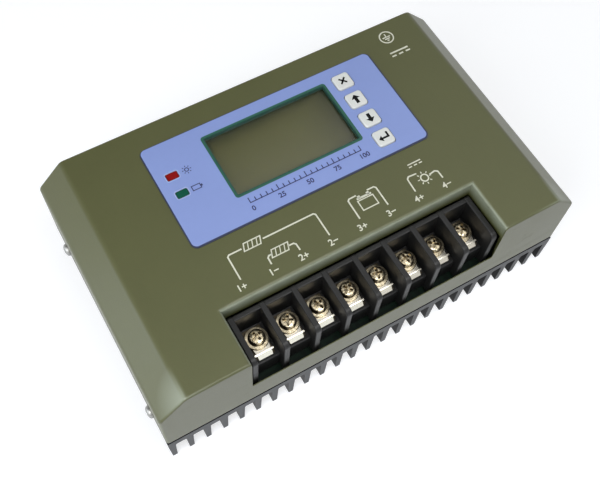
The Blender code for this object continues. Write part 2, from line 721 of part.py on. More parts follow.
def make_power_parts():
    """Transistors clamped to the heat sink under the board, and the capacitor on top of it."""
    half = TRANSISTOR_WIDTH / 2
    low = TRANSISTOR_BOTTOM
    body_end = TRANSISTOR_BODY / 2
    body = box((-half, -body_end, low), (half, body_end, low + TRANSISTOR_HEIGHT))
    tab_low = (-half + FIT_GAP, 0, low + FIT_GAP)
    tab = box(tab_low, (half - FIT_GAP, body_end + TAB_LENGTH, low + TAB_THICKNESS))
    leg_level = low + TRANSISTOR_HEIGHT / 2
    leg_section = [
        (0.0, leg_level),
        (LEG_Y, leg_level),
        (LEG_Y, BOARD_TOP + LEG_REACH),
        (LEG_Y + LEG_SIDE, BOARD_TOP + LEG_REACH),
        (LEG_Y + LEG_SIDE, leg_level + LEG_SIDE),
        (0.0, leg_level + LEG_SIDE),
    ]
    legs = [
        prism(leg_section, x - LEG_SIDE / 2, x + LEG_SIDE / 2, "X")
        for x in (-LEG_PITCH, 0.0, LEG_PITCH)
    ]
    transistor = join(join(body, tab), *legs)
    for number, x in enumerate(TRANSISTORS, 1):
        add_part(f"power_transistor_{number}", transistor.copy(), BLACK_MOULDED, (x, 0, 0))

    pad_side = BAR_SIDE - FIT_GAP
    pad = box(
        (-pad_side, -body_end - PAD_MARGIN, PAD_BOTTOM),
        (pad_side, body_end + TAB_LENGTH + PAD_MARGIN, PAD_BOTTOM + PAD_THICKNESS),
    )
    add_part("transistor_pad", pad, GREY_SILICONE)

    bar_bottom = low + TRANSISTOR_HEIGHT + FIT_GAP
    bar_top = bar_bottom + BAR_THICKNESS
    outer = BAR_SIDE + BAR_THICKNESS
    foot = BASE_TOP + FIT_GAP
    bridge = [
        (-outer, foot),
        (-outer, bar_top),
        (outer, bar_top),
        (outer, foot),
        (BAR_SIDE, foot),
        (BAR_SIDE, bar_bottom),
        (-BAR_SIDE, bar_bottom),
        (-BAR_SIDE, foot),
    ]
    add_part("transistor_bar", prism(bridge, -BAR_WIDTH / 2, BAR_WIDTH / 2, "Y"), PLATED_STEEL)

    can_bottom = BOARD_TOP + FIT_GAP
    can = cylinder(CAPACITOR_DIAMETER, can_bottom, can_bottom + CAPACITOR_HEIGHT)
    place = (INNER_SIDE - CAPACITOR_FROM_SIDE, BACK - CAPACITOR_FROM_BACK, 0)
    add_part("bulk_capacitor", can, BLUE_SLEEVE, place)


def make_ribbon_cable():
    """A flat cable from the display board down to the main board, bowed out at half height."""
    low = BOARD_TOP + FIT_GAP
    high = DISPLAY_BOARD_BOTTOM - FIT_GAP
    front = []
    rear = []
    for step in range(RIBBON_STEPS + 1):
        share = step / RIBBON_STEPS
        bow = RIBBON_BULGE * math.sin(math.pi * share) ** 2
        level = low + (high - low) * share
        front.append((LABEL_Y + bow, level))
        rear.append((LABEL_Y + bow + RIBBON_THICKNESS, level))
    mesh = prism(front + rear[::-1], -RIBBON_WIDTH / 2, RIBBON_WIDTH / 2, "X")
    add_part("ribbon_cable", mesh, GREY_CABLE)


def make_terminal_block():
    """A barrier block: one section along X, with a bay cut out for each way."""
    section = [
        (NOSE, BLOCK_BOTTOM),
        (NOSE, BARRIER_TOP - BARRIER_SLOPE),
        (NOSE + BARRIER_SLOPE, BARRIER_TOP),
        (BLOCK_REAR, BARRIER_TOP),
        (BLOCK_REAR, BLOCK_BOTTOM),
    ]
    mesh = prism(section, -BLOCK_SIDE, BLOCK_SIDE, "X")
    rear_wall = BLOCK_REAR - BLOCK_REAR_WALL
    bay_section = [
        (NOSE - CUT_OVER, BLOCK_BOTTOM - CUT_OVER),
        (DECK_FRONT, BLOCK_BOTTOM - CUT_OVER),
        (DECK_FRONT, DECK),
        (rear_wall, DECK),
        (rear_wall, BARRIER_TOP + CUT_OVER),
        (NOSE - CUT_OVER, BARRIER_TOP + CUT_OVER),
    ]
    bays = [prism(bay_section, x - BAY_WIDTH / 2, x + BAY_WIDTH / 2, "X") for x in TERMINALS]
    mesh = cut(mesh, *bays)
    hole_bottom = SCREW_SEAT - SCREW_LENGTH - FIT_GAP
    holes = [
        moved(cylinder(SCREW_SHANK + 2 * FIT_GAP, hole_bottom, DECK + CUT_OVER), (x, SCREW_Y, 0))
        for x in TERMINALS
    ]
    mesh = cut(mesh, *holes, *tail_slots(BLOCK_BOTTOM - CUT_OVER, DECK + CUT_OVER))
    add_part("terminal_block", mesh, BLACK_MOULDED)


def make_terminals():
    """For each way: a contact, a clamp that rises off it, and the screw that lifts the clamp."""
    shank_hole = SCREW_SHANK + 2 * FIT_GAP

    contact_section = [
        (-CONTACT_FRONT, CONTACT_BOTTOM),
        (-CONTACT_FRONT, CONTACT_TOP),
        (CONTACT_REAR, CONTACT_TOP),
        (CONTACT_REAR, BOARD_BOTTOM - CONTACT_TAIL_REACH),
        (CONTACT_REAR - CONTACT_THICKNESS, BOARD_BOTTOM - CONTACT_TAIL_REACH),
        (CONTACT_REAR - CONTACT_THICKNESS, CONTACT_BOTTOM),
    ]
    contact = prism(contact_section, -CONTACT_WIDTH / 2, CONTACT_WIDTH / 2, "X")
    contact = cut(contact, cylinder(shank_hole, CONTACT_BOTTOM - CUT_OVER, CONTACT_TOP + CUT_OVER))

    lip_inside = -CONTACT_FRONT - FIT_GAP
    lip_bottom = CONTACT_BOTTOM + FIT_GAP - CLAMP_BOTTOM
    clamp_section = [
        (CLAMP_REAR, 0.0),
        (CLAMP_REAR, CLAMP_THICKNESS),
        (lip_inside - CLAMP_LIP, CLAMP_THICKNESS),
        (lip_inside - CLAMP_LIP, lip_bottom),
        (lip_inside, lip_bottom),
        (lip_inside, 0.0),
    ]
    clamp = prism(clamp_section, -CLAMP_WIDTH / 2, CLAMP_WIDTH / 2, "X")
    clamp = cut(clamp, cylinder(shank_hole, -CUT_OVER, CLAMP_THICKNESS + CUT_OVER))

    radius = SCREW_HEAD / 2
    profile = [
        (0, -SCREW_LENGTH),
        (SCREW_SHANK / 2, -SCREW_LENGTH),
        (SCREW_SHANK / 2, 0.0),
        (radius, 0.0),
        (radius, SCREW_HEAD_HEIGHT * HEAD_EDGE_SHARE),
        (radius * CROWN_RADIUS_SHARE, SCREW_HEAD_HEIGHT * CROWN_HEIGHT_SHARE),
        (radius * CROWN_TOP_SHARE, SCREW_HEAD_HEIGHT),
        (0, SCREW_HEAD_HEIGHT),
    ]
    recess = cross_recess(
        SCREW_RECESS_WIDTH,
        SCREW_RECESS_LENGTH,
        SCREW_HEAD_HEIGHT - SCREW_RECESS_DEPTH,
        SCREW_HEAD_HEIGHT + CUT_OVER,
    )
    screw = cut(turned(profile), recess)

    for number, x in enumerate(TERMINALS, 1):
        add_part(f"terminal_contact_{number}", contact.copy(), PLATED_BRASS, (x, SCREW_Y, 0))
        place = (x, SCREW_Y, CLAMP_BOTTOM)
        lifted = add_part(f"terminal_clamp_{number}", clamp.copy(), PLATED_STEEL, place)
        seat = (0, 0, SCREW_SEAT - CLAMP_BOTTOM)
        add_part(f"terminal_screw_{number}", screw.copy(), PLATED_BRASS, seat, lifted)


def main():
    for item in list(bpy.data.objects):
        bpy.data.objects.remove(item)
    controller = bpy.data.objects.new("charge_controller", None)
    bpy.context.scene.collection.objects.link(controller)
    make_heat_sink()
    make_top_cover()
    make_cover_screws()
    make_face_label()
    make_display()
    make_keys()
    make_indicators()
    make_main_board()
    make_power_parts()
    make_ribbon_cable()
    make_terminal_block()
    make_terminals()


main()
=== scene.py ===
# %% [markdown]
# # A charge controller, from plain solids to a finished look
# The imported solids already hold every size, place and joint of this box: a finned heat sink, a
# folded cover, a display with four keys, and eight screw terminals. This lesson gives them their
# surfaces. Each piece is worked out on a grid with numpy, laid over the solid it stands for, and
# tied to the body that carries it, so a key still presses and a terminal screw still lifts. Sizes
# of pieces are in millimetres, as on a drawing, and become metres once, when a mesh is made.

# %% Load the frame
import math
from functools import partial

import bmesh
import bpy
import numpy as np
from mathutils import Matrix, Vector


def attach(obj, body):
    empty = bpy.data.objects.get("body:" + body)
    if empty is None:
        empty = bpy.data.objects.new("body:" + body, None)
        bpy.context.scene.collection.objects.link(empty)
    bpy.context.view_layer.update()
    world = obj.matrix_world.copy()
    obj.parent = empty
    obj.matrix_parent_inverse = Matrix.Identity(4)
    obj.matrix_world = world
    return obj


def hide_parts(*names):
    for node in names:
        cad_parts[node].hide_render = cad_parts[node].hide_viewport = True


MM = 0.001

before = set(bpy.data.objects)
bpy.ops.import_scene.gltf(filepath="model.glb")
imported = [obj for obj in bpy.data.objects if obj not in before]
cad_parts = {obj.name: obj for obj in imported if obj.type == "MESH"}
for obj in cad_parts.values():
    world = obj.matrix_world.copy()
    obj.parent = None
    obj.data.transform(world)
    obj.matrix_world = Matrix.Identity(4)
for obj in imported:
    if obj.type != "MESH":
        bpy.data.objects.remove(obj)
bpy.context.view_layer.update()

# %% [markdown]
# ## The view
# The photograph looks down on the box from the front left corner. A camera could be placed by eye
# and nudged. Here its place and its three axes were solved from the straight edges of the cover,
# so they are written as numbers, and every printed line later falls where the photograph has it.

# %% Camera
CAMERA_PLACE = (-0.106845, -0.152457, 0.369585)
CAMERA_RIGHT = (0.86501, -0.50023, 0.03904)
CAMERA_UP = (0.43038, 0.77971, 0.45478)
CAMERA_BACK = (-0.25793, -0.37659, 0.88975)
CAMERA_LENS = 50.79

camera = bpy.data.objects.new("camera", bpy.data.cameras.new("camera"))
camera.data.sensor_width = 36
camera.data.lens = CAMERA_LENS
camera.data.clip_start = 0.01
axes = Matrix((CAMERA_RIGHT, CAMERA_UP, CAMERA_BACK)).transposed().to_4x4()
camera.matrix_world = Matrix.Translation(CAMERA_PLACE) @ axes
bpy.context.scene.collection.objects.link(camera)
bpy.context.scene.camera = camera
bpy.context.scene.view_settings.view_transform = "Standard"
print("camera", round(camera.location.length, 3), "m from the origin")

# %% [markdown]
# ## Nodes in short words
# A material is a graph of nodes. Written out in full, each node takes four lines, and the graph
# gets lost. These small helpers make one node a line: a number goes on the node's own socket, and
# the output of another node becomes a link. A new node joins the tree that its first link comes
# from, so no call has to name the tree.


# %% Node helpers
def feed(socket, value):
    """Link an output to a socket, or write a plain value on it."""
    if isinstance(value, bpy.types.NodeSocket):
        socket.id_data.links.new(value, socket)
    else:
        socket.default_value = value


def node(tree, kind, inputs=None, **settings):
    """The outputs of a new node with its settings, and with values or links on its inputs."""
    made = tree.nodes.new(kind)
    for name, value in settings.items():
        setattr(made, name, value)
    for key, value in (inputs or {}).items():
        feed(made.inputs[key], value)
    return made.outputs


def linked(kind, inputs, **settings):
    """The outputs of a new node in the tree that its first linked input comes from."""
    links = (value for value in inputs.values() if isinstance(value, bpy.types.NodeSocket))
    return node(next(links).id_data, kind, inputs, **settings)


def sums(operation, *values):
    """The output of one Math node."""
    return linked("ShaderNodeMath", dict(enumerate(values)), operation=operation)[0]


def arrows(operation, *values):
    """The vector of one Vector Math node, or its value for a length."""
    made = linked("ShaderNodeVectorMath", dict(enumerate(values)), operation=operation)
    return made["Value" if operation == "LENGTH" else "Vector"]


def blend(share, first, second, kind="RGBA"):
    """A colour between two colours, or with the kind FLOAT a value between two values."""
    inputs = {"Factor": share, "A": first, "B": second}
    return linked("ShaderNodeMix", inputs, data_type=kind)["Result"]


def noise(place, scale, detail=3.0, rough=0.55):
    """A Noise Texture's value at a place."""
    inputs = {"Vector": place, "Scale": scale, "Detail": detail, "Roughness": rough}
    return linked("ShaderNodeTexNoise", inputs)["Fac"]


def ramp(value, low, high, start=0.0, end=1.0):
    """A value moved from the span low to high onto the span start to end, and kept inside it."""
    inputs = {"Value": value, "From Min": low, "From Max": high, "To Min": start, "To Max": end}
    return linked("ShaderNodeMapRange", inputs)["Result"]


def masked(mask, *spans):
    """A mask times one ramp for each (value, none, full): it fades as a value nears none."""
    for value, none, full in spans:
        mask = sums("MULTIPLY", mask, ramp(value, none, full))
    return mask


def xyz(vector):
    """The X, Y and Z of a vector."""
    return linked("ShaderNodeSeparateXYZ", {0: vector})


def in_mm(place):
    """A place in millimetres, for masks with sizes."""
    return arrows("DIVIDE", place, (MM, MM, MM))


def group(name, takes, gives):
    """An empty shader group with named sockets; returns its inner ends."""
    tree = bpy.data.node_groups.new(name, "ShaderNodeTree")
    for way, sockets in (("INPUT", takes), ("OUTPUT", gives)):
        for label, kind in sockets.items():
            tree.interface.new_socket(label, in_out=way, socket_type="NodeSocket" + kind)
    return node(tree, "NodeGroupInput"), tree.nodes.new("NodeGroupOutput").inputs


def use(name, **values):
    """The outputs of a group placed in a material with its own values."""
    return linked("ShaderNodeGroup", values, node_tree=bpy.data.node_groups[name])


print("node helpers ready")

# %% [markdown]
# ## Effects that several finishes share
# Paint, plastic and metal all vary a little in tone, all have a fine grain, and all carry light
# scuffs and dust. Copying those nodes into every material would make them hard to tune, so each
# effect is one shader group: Tone shifts a colour in soft blotches, Grain gives a height for a
# bump, Scuffs gives a thin mask of streaks, and Edge gives the distance to a rectangle for print.


# %% Shader groups
takes, gives = group(
    "Tone",
    {"Place": "Vector", "Colour": "Color", "Scale": "Float", "Spread": "Float"},
    {"Colour": "Color", "Value": "Float"},
)
wide = noise(takes["Place"], takes["Scale"], 4.0)
speck = noise(takes["Place"], sums("MULTIPLY", takes["Scale"], 9.0), 2.0)
mixed = sums("ADD", sums("MULTIPLY", wide, 0.65), sums("MULTIPLY", speck, 0.35))
shift = sums("MULTIPLY", sums("SUBTRACT", mixed, 0.5), takes["Spread"])
gain = sums("MULTIPLY_ADD", shift, 2.0, 1.0)
feed(gives["Colour"], arrows("MULTIPLY", takes["Colour"], gain))
feed(gives["Value"], mixed)

takes, gives = group(
    "Grain", {"Place": "Vector", "Scale": "Float", "Stretch": "Vector"}, {"Height": "Float"}
)
stretched = arrows("MULTIPLY", takes["Place"], takes["Stretch"])
coarse = noise(stretched, takes["Scale"], 2.0, 0.5)
fine = noise(stretched, sums("MULTIPLY", takes["Scale"], 3.7), 2.0, 0.6)
feed(gives["Height"], sums("MULTIPLY_ADD", fine, 0.35, coarse))

takes, gives = group(
    "Scuffs", {"Place": "Vector", "Scale": "Float", "Amount": "Float"}, {"Mask": "Float"}
)
bent = arrows("MULTIPLY", takes["Place"], (1.0, 0.12, 1.0))
crossed = arrows("MULTIPLY", takes["Place"], (0.10, 1.0, 1.0))
lines = sums("MAXIMUM", *(noise(way, takes["Scale"], 5.0) for way in (bent, crossed)))
patches = noise(takes["Place"], sums("MULTIPLY", takes["Scale"], 0.12), 2.0)
streaks = masked(ramp(lines, 0.62, 0.74), (patches, 0.45, 0.65))
feed(gives["Mask"], sums("MULTIPLY", streaks, takes["Amount"]))

takes, gives = group(
    "Edge",
    {"Place": "Vector", "Centre": "Vector", "Half": "Vector", "Corner": "Float"},
    {"Distance": "Float"},
)
aside = arrows("ABSOLUTE", arrows("SUBTRACT", takes["Place"], takes["Centre"]))
beyond = arrows("ADD", arrows("SUBTRACT", aside, takes["Half"]), takes["Corner"])
flat_beyond = arrows("MULTIPLY", beyond, (1.0, 1.0, 0.0))
outside = arrows("LENGTH", arrows("MAXIMUM", flat_beyond, (0.0, 0.0, 0.0)))
beyond_x, beyond_y, _ = xyz(beyond)
inside = sums("MINIMUM", sums("MAXIMUM", beyond_x, beyond_y), 0.0)
reach = sums("ADD", outside, inside)
feed(gives["Distance"], sums("SUBTRACT", reach, takes["Corner"]))
print("shader groups:", sorted(made.name for made in bpy.data.node_groups))

# %% [markdown]
# ## One recipe for a finish
# Nearly every finish here is the same sentence: a colour with some tone, a roughness that scuffs
# change, and a grain that bends the light. So one function writes that sentence, and returns the
# graph's main ends for the finishes that need more. Most of those only need a second colour where
# a mask is 1, such as print or wear, which is what overlay adds.


# %% Finish recipe
ROUGH_SPREAD, SCUFF_SCALE = 0.12, 2.5


def finish(
    name, colour, rough, tone=(60.0, 0.10), grain=(900.0, 0.00003), scuffs=0.10,
    stretch=(1, 1, 1), **plain
):
    """A Principled material from Tone, Scuffs and Grain. tone is (scale, spread), grain is (scale,
    depth in metres), and plain holds values that are the same all over the surface."""
    material = bpy.data.materials.new(name)
    material.use_nodes = True
    tree = material.node_tree
    shader = tree.nodes["Principled BSDF"]
    place = node(tree, "ShaderNodeTexCoord")["Object"]
    tint = use("Tone", Place=place, Colour=(*colour, 1.0), Scale=tone[0], Spread=tone[1])
    worn = use("Scuffs", Place=place, Scale=tone[0] * SCUFF_SCALE, Amount=scuffs)
    feed(shader.inputs["Base Color"], tint["Colour"])
    uneven = sums("MULTIPLY_ADD", tint["Value"], ROUGH_SPREAD, rough - ROUGH_SPREAD / 2)
    feed(shader.inputs["Roughness"], sums("ADD", uneven, worn["Mask"]))
    height = use("Grain", Place=place, Scale=grain[0], Stretch=stretch)["Height"]
    bump = linked("ShaderNodeBump", {"Height": height, "Distance": grain[1]})
    feed(shader.inputs["Normal"], bump[0])
    for label, value in plain.items():
        shader.inputs[label.replace("_", " ")].default_value = value
    return material, shader, place


def simple(*values, **named):
    """The material of a finish that needs no more nodes."""
    return finish(*values, **named)[0]


def overlay(shader, mask, colour):
    """Another colour over the colour that a finish has so far, as far as a mask goes."""
    base = shader.inputs["Base Color"]
    feed(base, blend(mask, base.links[0].from_socket, (*colour, 1.0)))


print("finish recipe ready")

# %% [markdown]
# ## The paints, plastics and metals
# The cover is satin powder coat: an olive colour under a thin clear skin, which mirrors the white
# table in its upright walls and so turns them grey. Paler paint is laid on the rolled lip round the
# terminals and on the front ends of the two ridges: a painted highlight, which on the lip's wall
# below the roll is also painted light in its shade. A few ramps along X, Y and Z box in each place.
# The heat sink is black anodised, with faint lines along the extrusion and greyer sawn ends. The
# terminal block is a smooth black thermoset; the screws and clamps are plated, with a warm cast.

# %% Main finishes
FRONT, BACK, TOP = -59.2, 59.2, 64.1
NOTCH, NOTCH_BACK = 60.0, -34.3
RIDGE_END = (88.5, FRONT, TOP)
OLIVE, PAINTED_HIGHLIGHT = (0.0795, 0.0845, 0.0285), (0.27, 0.30, 0.225)
ANODISED, SAWN = (0.012, 0.013, 0.016), (0.118, 0.121, 0.126)
MOULDED = (0.009, 0.009, 0.009)
STEEL, BRASS = (0.74, 0.70, 0.60), (0.74, 0.64, 0.45)

olive_paint, shader, spot = finish(
    "olive_paint", OLIVE, 0.42, (45.0, 0.10), (1300.0, 0.00004), Coat_Weight=0.16,
    Coat_Roughness=0.25,
)
x, y, z = xyz(in_mm(spot))
aside = sums("ABSOLUTE", x)
# Painted highlight on the rolled lip of the notch, and painted light on the lip's shaded wall.
lip_highlight = masked(
    ramp(noise(spot, 180.0), 0.2, 0.6, 0.70, 1.00),
    (z, TOP - 0.1, TOP - 0.6),
    (z, TOP - 8.0, TOP - 2.2),
    (y, FRONT + 0.2, FRONT + 0.8),
    (aside, NOTCH + 4.0, NOTCH + 2.5),
    (y, NOTCH_BACK + 4.0, NOTCH_BACK + 2.5),
)
folded = linked("ShaderNodeCombineXYZ", {0: aside, 1: y, 2: z})[0]
away = arrows("LENGTH", arrows("SUBTRACT", folded, RIDGE_END))
# Painted highlight at the front ends of the two ridges, round each front corner.
ridge_highlight = masked(
    ramp(away, 15.0, 2.0, 0.0, 0.7), (z, TOP, TOP - 0.25), (y, FRONT + 0.1, FRONT + 0.6)
)
overlay(shader, sums("MAXIMUM", lip_highlight, ridge_highlight), PAINTED_HIGHLIGHT)

black_anodised, shader, spot = finish(
    "black_anodised", ANODISED, 0.36, (40.0, 0.18), (1500.0, 0.00003), stretch=(1, 0.03, 1),
    Specular_IOR_Level=0.04,
)
depth = sums("ABSOLUTE", xyz(in_mm(spot))[1])
overlay(shader, ramp(depth, BACK - 0.10, BACK - 0.05), SAWN)

black_moulded = simple(
    "black_moulded", MOULDED, 0.44, (90.0, 0.25), (2200.0, 0.00002), Specular_IOR_Level=0.4
)
plated_steel = simple(
    "plated_steel", STEEL, 0.24, (350.0, 0.14), (2600.0, 0.00001), scuffs=0.16, Metallic=1.0
)
dull_steel = simple("dull_steel", (0.36, 0.36, 0.35), 0.42, (350.0, 0.2), scuffs=0.15, Metallic=1.0)
# Painted shade: the contacts' tarnished brass is written darker still, as the shade under the
# clamps.
dull_brass = simple(
    "dull_brass", (0.075, 0.062, 0.042), 0.5, (300.0, 0.30), scuffs=0.2, Metallic=1.0
)
key_plastic = simple("key_plastic", (0.70, 0.72, 0.70), 0.45, (160.0, 0.05), (3000.0, 0.00001))
white_nylon = simple("white_nylon", (0.72, 0.71, 0.64), 0.5, (160.0, 0.06))
grey_silicone = simple("grey_silicone", (0.33, 0.34, 0.35), 0.7, (160.0, 0.10))
blue_sleeve = simple("blue_sleeve", (0.03, 0.05, 0.14), 0.3, (160.0, 0.10), Coat_Weight=0.4)
print("finishes:", len(bpy.data.materials))

# %% [markdown]
# ## Points, cells and pieces
# A grid surface is an array of points and a list of cells. Blender can build these face by face,
# but whole arrays are faster and shorter. A shell here is one array of points with blocks of
# faces; a piece is one or more shells, welded where points meet and turned to face outwards.


# %% Grid helpers
WELD, CRISP, BEVELLED = 1e-6, math.radians(35), math.radians(40)


def cells(rows, columns, ring_rows=False, ring_columns=False):
    """Corner numbers of each cell in a grid of points counted row by row: an array (rows,
    columns, 4). A ring joins the last row or column back to the first."""
    row, column = np.meshgrid(
        np.arange(rows - (not ring_rows)), np.arange(columns - (not ring_columns)), indexing="ij"
    )
    below, beside = (row + 1) % rows, (column + 1) % columns
    corners = (row * columns + column, row * columns + beside)
    return np.stack((*corners, below * columns + beside, below * columns + column), axis=-1)


def all_cells(*shape, **rings):
    """The cells of a whole grid as one block of faces."""
    return cells(*shape, **rings).reshape(-1, 4)


def welded(name, shells, facing=None):
    """A mesh from (points, face blocks) shells, with doubles merged and faces turned outwards. An
    open sheet is turned so that most of its area looks along facing."""
    points, faces, start = [], [], 0
    for shell_points, blocks in shells:
        shell_points = np.asarray(shell_points, float).reshape(-1, 3)
        points.append(shell_points)
        for block in blocks:
            faces += (np.asarray(block) + start).tolist()
        start += len(shell_points)
    mesh = bpy.data.meshes.new(name)
    mesh.from_pydata((np.concatenate(points) * MM).tolist(), [], faces)
    shape = bmesh.new()
    shape.from_mesh(mesh)
    bmesh.ops.remove_doubles(shape, verts=shape.verts, dist=WELD)
    bmesh.ops.recalc_face_normals(shape, faces=shape.faces)
    if facing:
        looks = sum((face.normal * face.calc_area() for face in shape.faces), Vector())
        if looks.dot(Vector(facing)) < 0:
            bmesh.ops.reverse_faces(shape, faces=shape.faces)
    shape.to_mesh(mesh)
    shape.free()
    return mesh


def applied(data, kind=None, **settings):
    """The mesh of a mesh or of a text, after one modifier if a kind is named."""
    carrier = bpy.data.objects.new("carrier", data)
    bpy.context.scene.collection.objects.link(carrier)
    modifier = kind and carrier.modifiers.new(kind, kind)
    for name, value in settings.items():
        setattr(modifier, name, value)
    settled = carrier.evaluated_get(bpy.context.evaluated_depsgraph_get())
    result = bpy.data.meshes.new_from_object(settled)
    bpy.data.objects.remove(carrier)
    return result


def places(mesh):
    """The points of a mesh in millimetres, as an array (count, 3)."""
    points = np.empty(3 * len(mesh.vertices))
    mesh.vertices.foreach_get("co", points)
    return points.reshape(-1, 3) / MM


def add_piece(
    name, shells, material, body, stands_for=None, facing=None, wall=0.0, bevel=0.0
):
    """One object from shells that rides on a body of the frame. A wall thickens an open sheet
    behind its faces, and a bevel rounds sharp edges. Edges of more than 35 degrees stay crisp, and
    Weighted Normal keeps broad faces flat beside their small bends."""
    mesh = welded(name, shells, facing)
    if wall:
        mesh = applied(mesh, "SOLIDIFY", thickness=wall * MM, offset=-1.0, use_even_offset=True)
    if bevel:
        mesh = applied(mesh, "BEVEL", width=bevel * MM, segments=3, angle_limit=BEVELLED)
    mesh.name = name
    mesh.shade_smooth()
    mesh.set_sharp_from_angle(angle=CRISP)
    mesh.materials.clear()
    mesh.materials.append(material)
    piece = bpy.data.objects.new(name, mesh)
    bpy.context.scene.collection.objects.link(piece)
    piece.modifiers.new("flat faces", "WEIGHTED_NORMAL").keep_sharp = True
    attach(piece, body)
    if stands_for:
        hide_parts(stands_for)
    return piece


print("grid helpers ready")

# %% [markdown]
# ## Rounded outlines
# Sheet metal bends, moulded edges and key caps are all straight lines with rounded corners. One
# function rounds any line: at each corner, an arc starts and ends where it touches the two sides.
# It also returns the outward direction at every point, which later lets an edge curl inwards.


# %% Outline helpers
def rounded(corners, radii, steps=6, closed=True):
    """Points and outward normals of a line whose corners are arcs. Where the line turns by t, the
    arc starts radius * tan(t / 2) before the corner, and its centre lies inside the turn. The solid
    is on the line's left when it is closed, and on its right when it is open."""
    corners = np.asarray(corners, float)
    before = corners - np.roll(corners, 1, axis=0)
    before /= np.linalg.norm(before, axis=1, keepdims=True)
    after = np.roll(before, -1, axis=0)
    outward = (1, -1) if closed else (-1, 1)
    out_before, out_after = before[:, ::-1] * outward, after[:, ::-1] * outward
    radius = np.broadcast_to(radii, len(corners))[:, None]
    swell = np.where(np.sum(after * out_before, axis=1, keepdims=True) < 0, radius, -radius)
    turn = np.arccos(np.clip(np.sum(before * after, axis=1, keepdims=True), -1, 1))
    centre = corners - before * radius * np.tan(turn / 2) - swell * out_before
    share = np.linspace(0, 1, steps + 1)[:, None, None]
    normals = np.sin((1 - share) * turn) * out_before + np.sin(share * turn) * out_after
    normals /= np.linalg.norm(normals, axis=2, keepdims=True)
    arcs = np.stack((centre + swell * normals, normals)).swapaxes(1, 2)
    if closed:
        return arcs.reshape(2, -1, 2)
    points, normals = arcs[:, 1:-1].reshape(2, -1, 2)
    ends = (corners[:1], points, corners[-1:])
    return np.concatenate(ends), np.concatenate((normals[:1], normals, normals[-1:]))


def oblong(half_x, half_y, radius, centre):
    """A rounded rectangle about a centre."""
    x, y = centre
    left, right, near, far = x - half_x, x + half_x, y - half_y, y + half_y
    return rounded([(left, near), (right, near), (right, far), (left, far)], radius)


def stacked(outline, insets, levels, order=(0, 1, 2)):
    """Copies of an outline as rows of a grid: row i is the line moved by insets[i] against its
    normals, at height levels[i]. order puts the line's two axes and the height onto X, Y and Z."""
    line, normals = outline
    flat = line - insets[:, None, None] * normals
    tall = np.broadcast_to(levels[:, None, None], (*flat.shape[:2], 1))
    return np.concatenate((flat, tall), axis=2)[..., np.argsort(order)]


def quarter(radius, steps=5):
    """A rounded edge in steps: with t from 0 to 90 degrees, r * (1 - sin t) and r * (1 - cos t)."""
    turn = np.linspace(0, math.pi / 2, steps + 1)
    return radius * (1 - np.sin(turn)), radius * (1 - np.cos(turn))


def capped(rings):
    """A shell from closed rings of points, with a face on the first and on the last."""
    count, around = rings.shape[:2]
    ends = np.arange(around)
    faces = all_cells(count, around, ring_columns=True)
    return rings, [faces, [ends], [ends + (count - 1) * around]]


def pillow(outline, low, high, edge, order=(0, 1, 2)):
    """A plate with a rounded rim: a quarter round rises from the lower face, and another one ends
    at the upper face."""
    inset, rise = quarter(edge)
    levels = np.concatenate((low + rise, high - rise[::-1]))
    return capped(stacked(outline, np.append(inset, inset[::-1]), levels, order))


def extruded(line, low, high, order=(0, 1, 2)):
    """A flat outline carried straight from low to high, with a face on each end."""
    return capped(stacked((np.asarray(line), 0.0), np.zeros(2), np.array((low, high)), order))


def turned(profile, centre, sides=24):
    """A profile of (radius, height) turned about an upright line: (r cos a, r sin a, h)."""
    radius, height = np.array(profile).T
    angle = np.linspace(0, 2 * math.pi, sides, endpoint=False)
    ring = np.stack((np.cos(angle), np.sin(angle)), axis=-1)
    points = stacked((0.0, -ring), radius, height)
    return points + centre, [all_cells(*points.shape[:2], ring_columns=True)]


def block(low, high):
    """A plain box between two corners."""
    (x0, y0, z0), (x1, y1, z1) = low, high
    return extruded([(x0, y0), (x1, y0), (x1, y1), (x0, y1)], z0, z1)


print("outline helpers ready")

# %% [markdown]
# ## The folded cover: the sheet's grid
# The real cover is one steel sheet, folded over at both ends into sloped shoulders and bent down
# at the front and back. It could be a box with bevels, but a folded sheet is easier to say as a
# grid: columns follow the section seen from the front, rows run from front to back, and in the
# first and last rows the section shrinks while it turns down, which makes the bend of the edge.

# %% Cover sizes and grid lines
SIDE = 100.0
BOTTOM, SLOPE, WALL = 21.4, 12.0, 1.2
LIP, SILL, SILL_EDGE = 9.0, 37.2, 0.4
WINDOW_HALF, WINDOW_Y = (30.1, 16.05), 24.05
KEY_HALF, KEY_X = (4.15, 4.05), 39.1
KEY_YS = {"esc": 37.7, "up": 26.3, "down": 14.9, "enter": 3.5}
LED_HALF, LED_X = (2.5, 1.55), -49.7
LED_YS = {"charge_led": 29.65, "battery_led": 20.05}
FIT = 0.3
EDGE_BEND, SHOULDER_BEND, LIP_BEND = 1.1, 4.0, 1.6

openings = [(0.0, WINDOW_Y, *WINDOW_HALF)]
openings += [(KEY_X, y, KEY_HALF[0] + FIT, KEY_HALF[1] + FIT) for y in KEY_YS.values()]
openings += [(LED_X, y, LED_HALF[0] + FIT, LED_HALF[1] + FIT) for y in LED_YS.values()]
middle_x, middle_y, half_x, half_y = np.array(openings).T
lip_x, lip_y = NOTCH + LIP_BEND, NOTCH_BACK + LIP_BEND
across = np.unique(np.round(np.concatenate((middle_x - half_x, middle_x + half_x)), 4))
along = np.unique(np.round(np.concatenate((middle_y - half_y, middle_y + half_y)), 4))
print("cover openings:", len(openings), "grid lines:", len(across), "across,", len(along), "along")

# %% [markdown]
# ## The folded cover: bends and openings
# The section gets extra points on its flat top, one at each edge of an opening, and the rows do
# the same along the depth. Cells that fall in an opening or in the terminals' notch are then left
# out, so every hole has straight edges and no Boolean is needed.

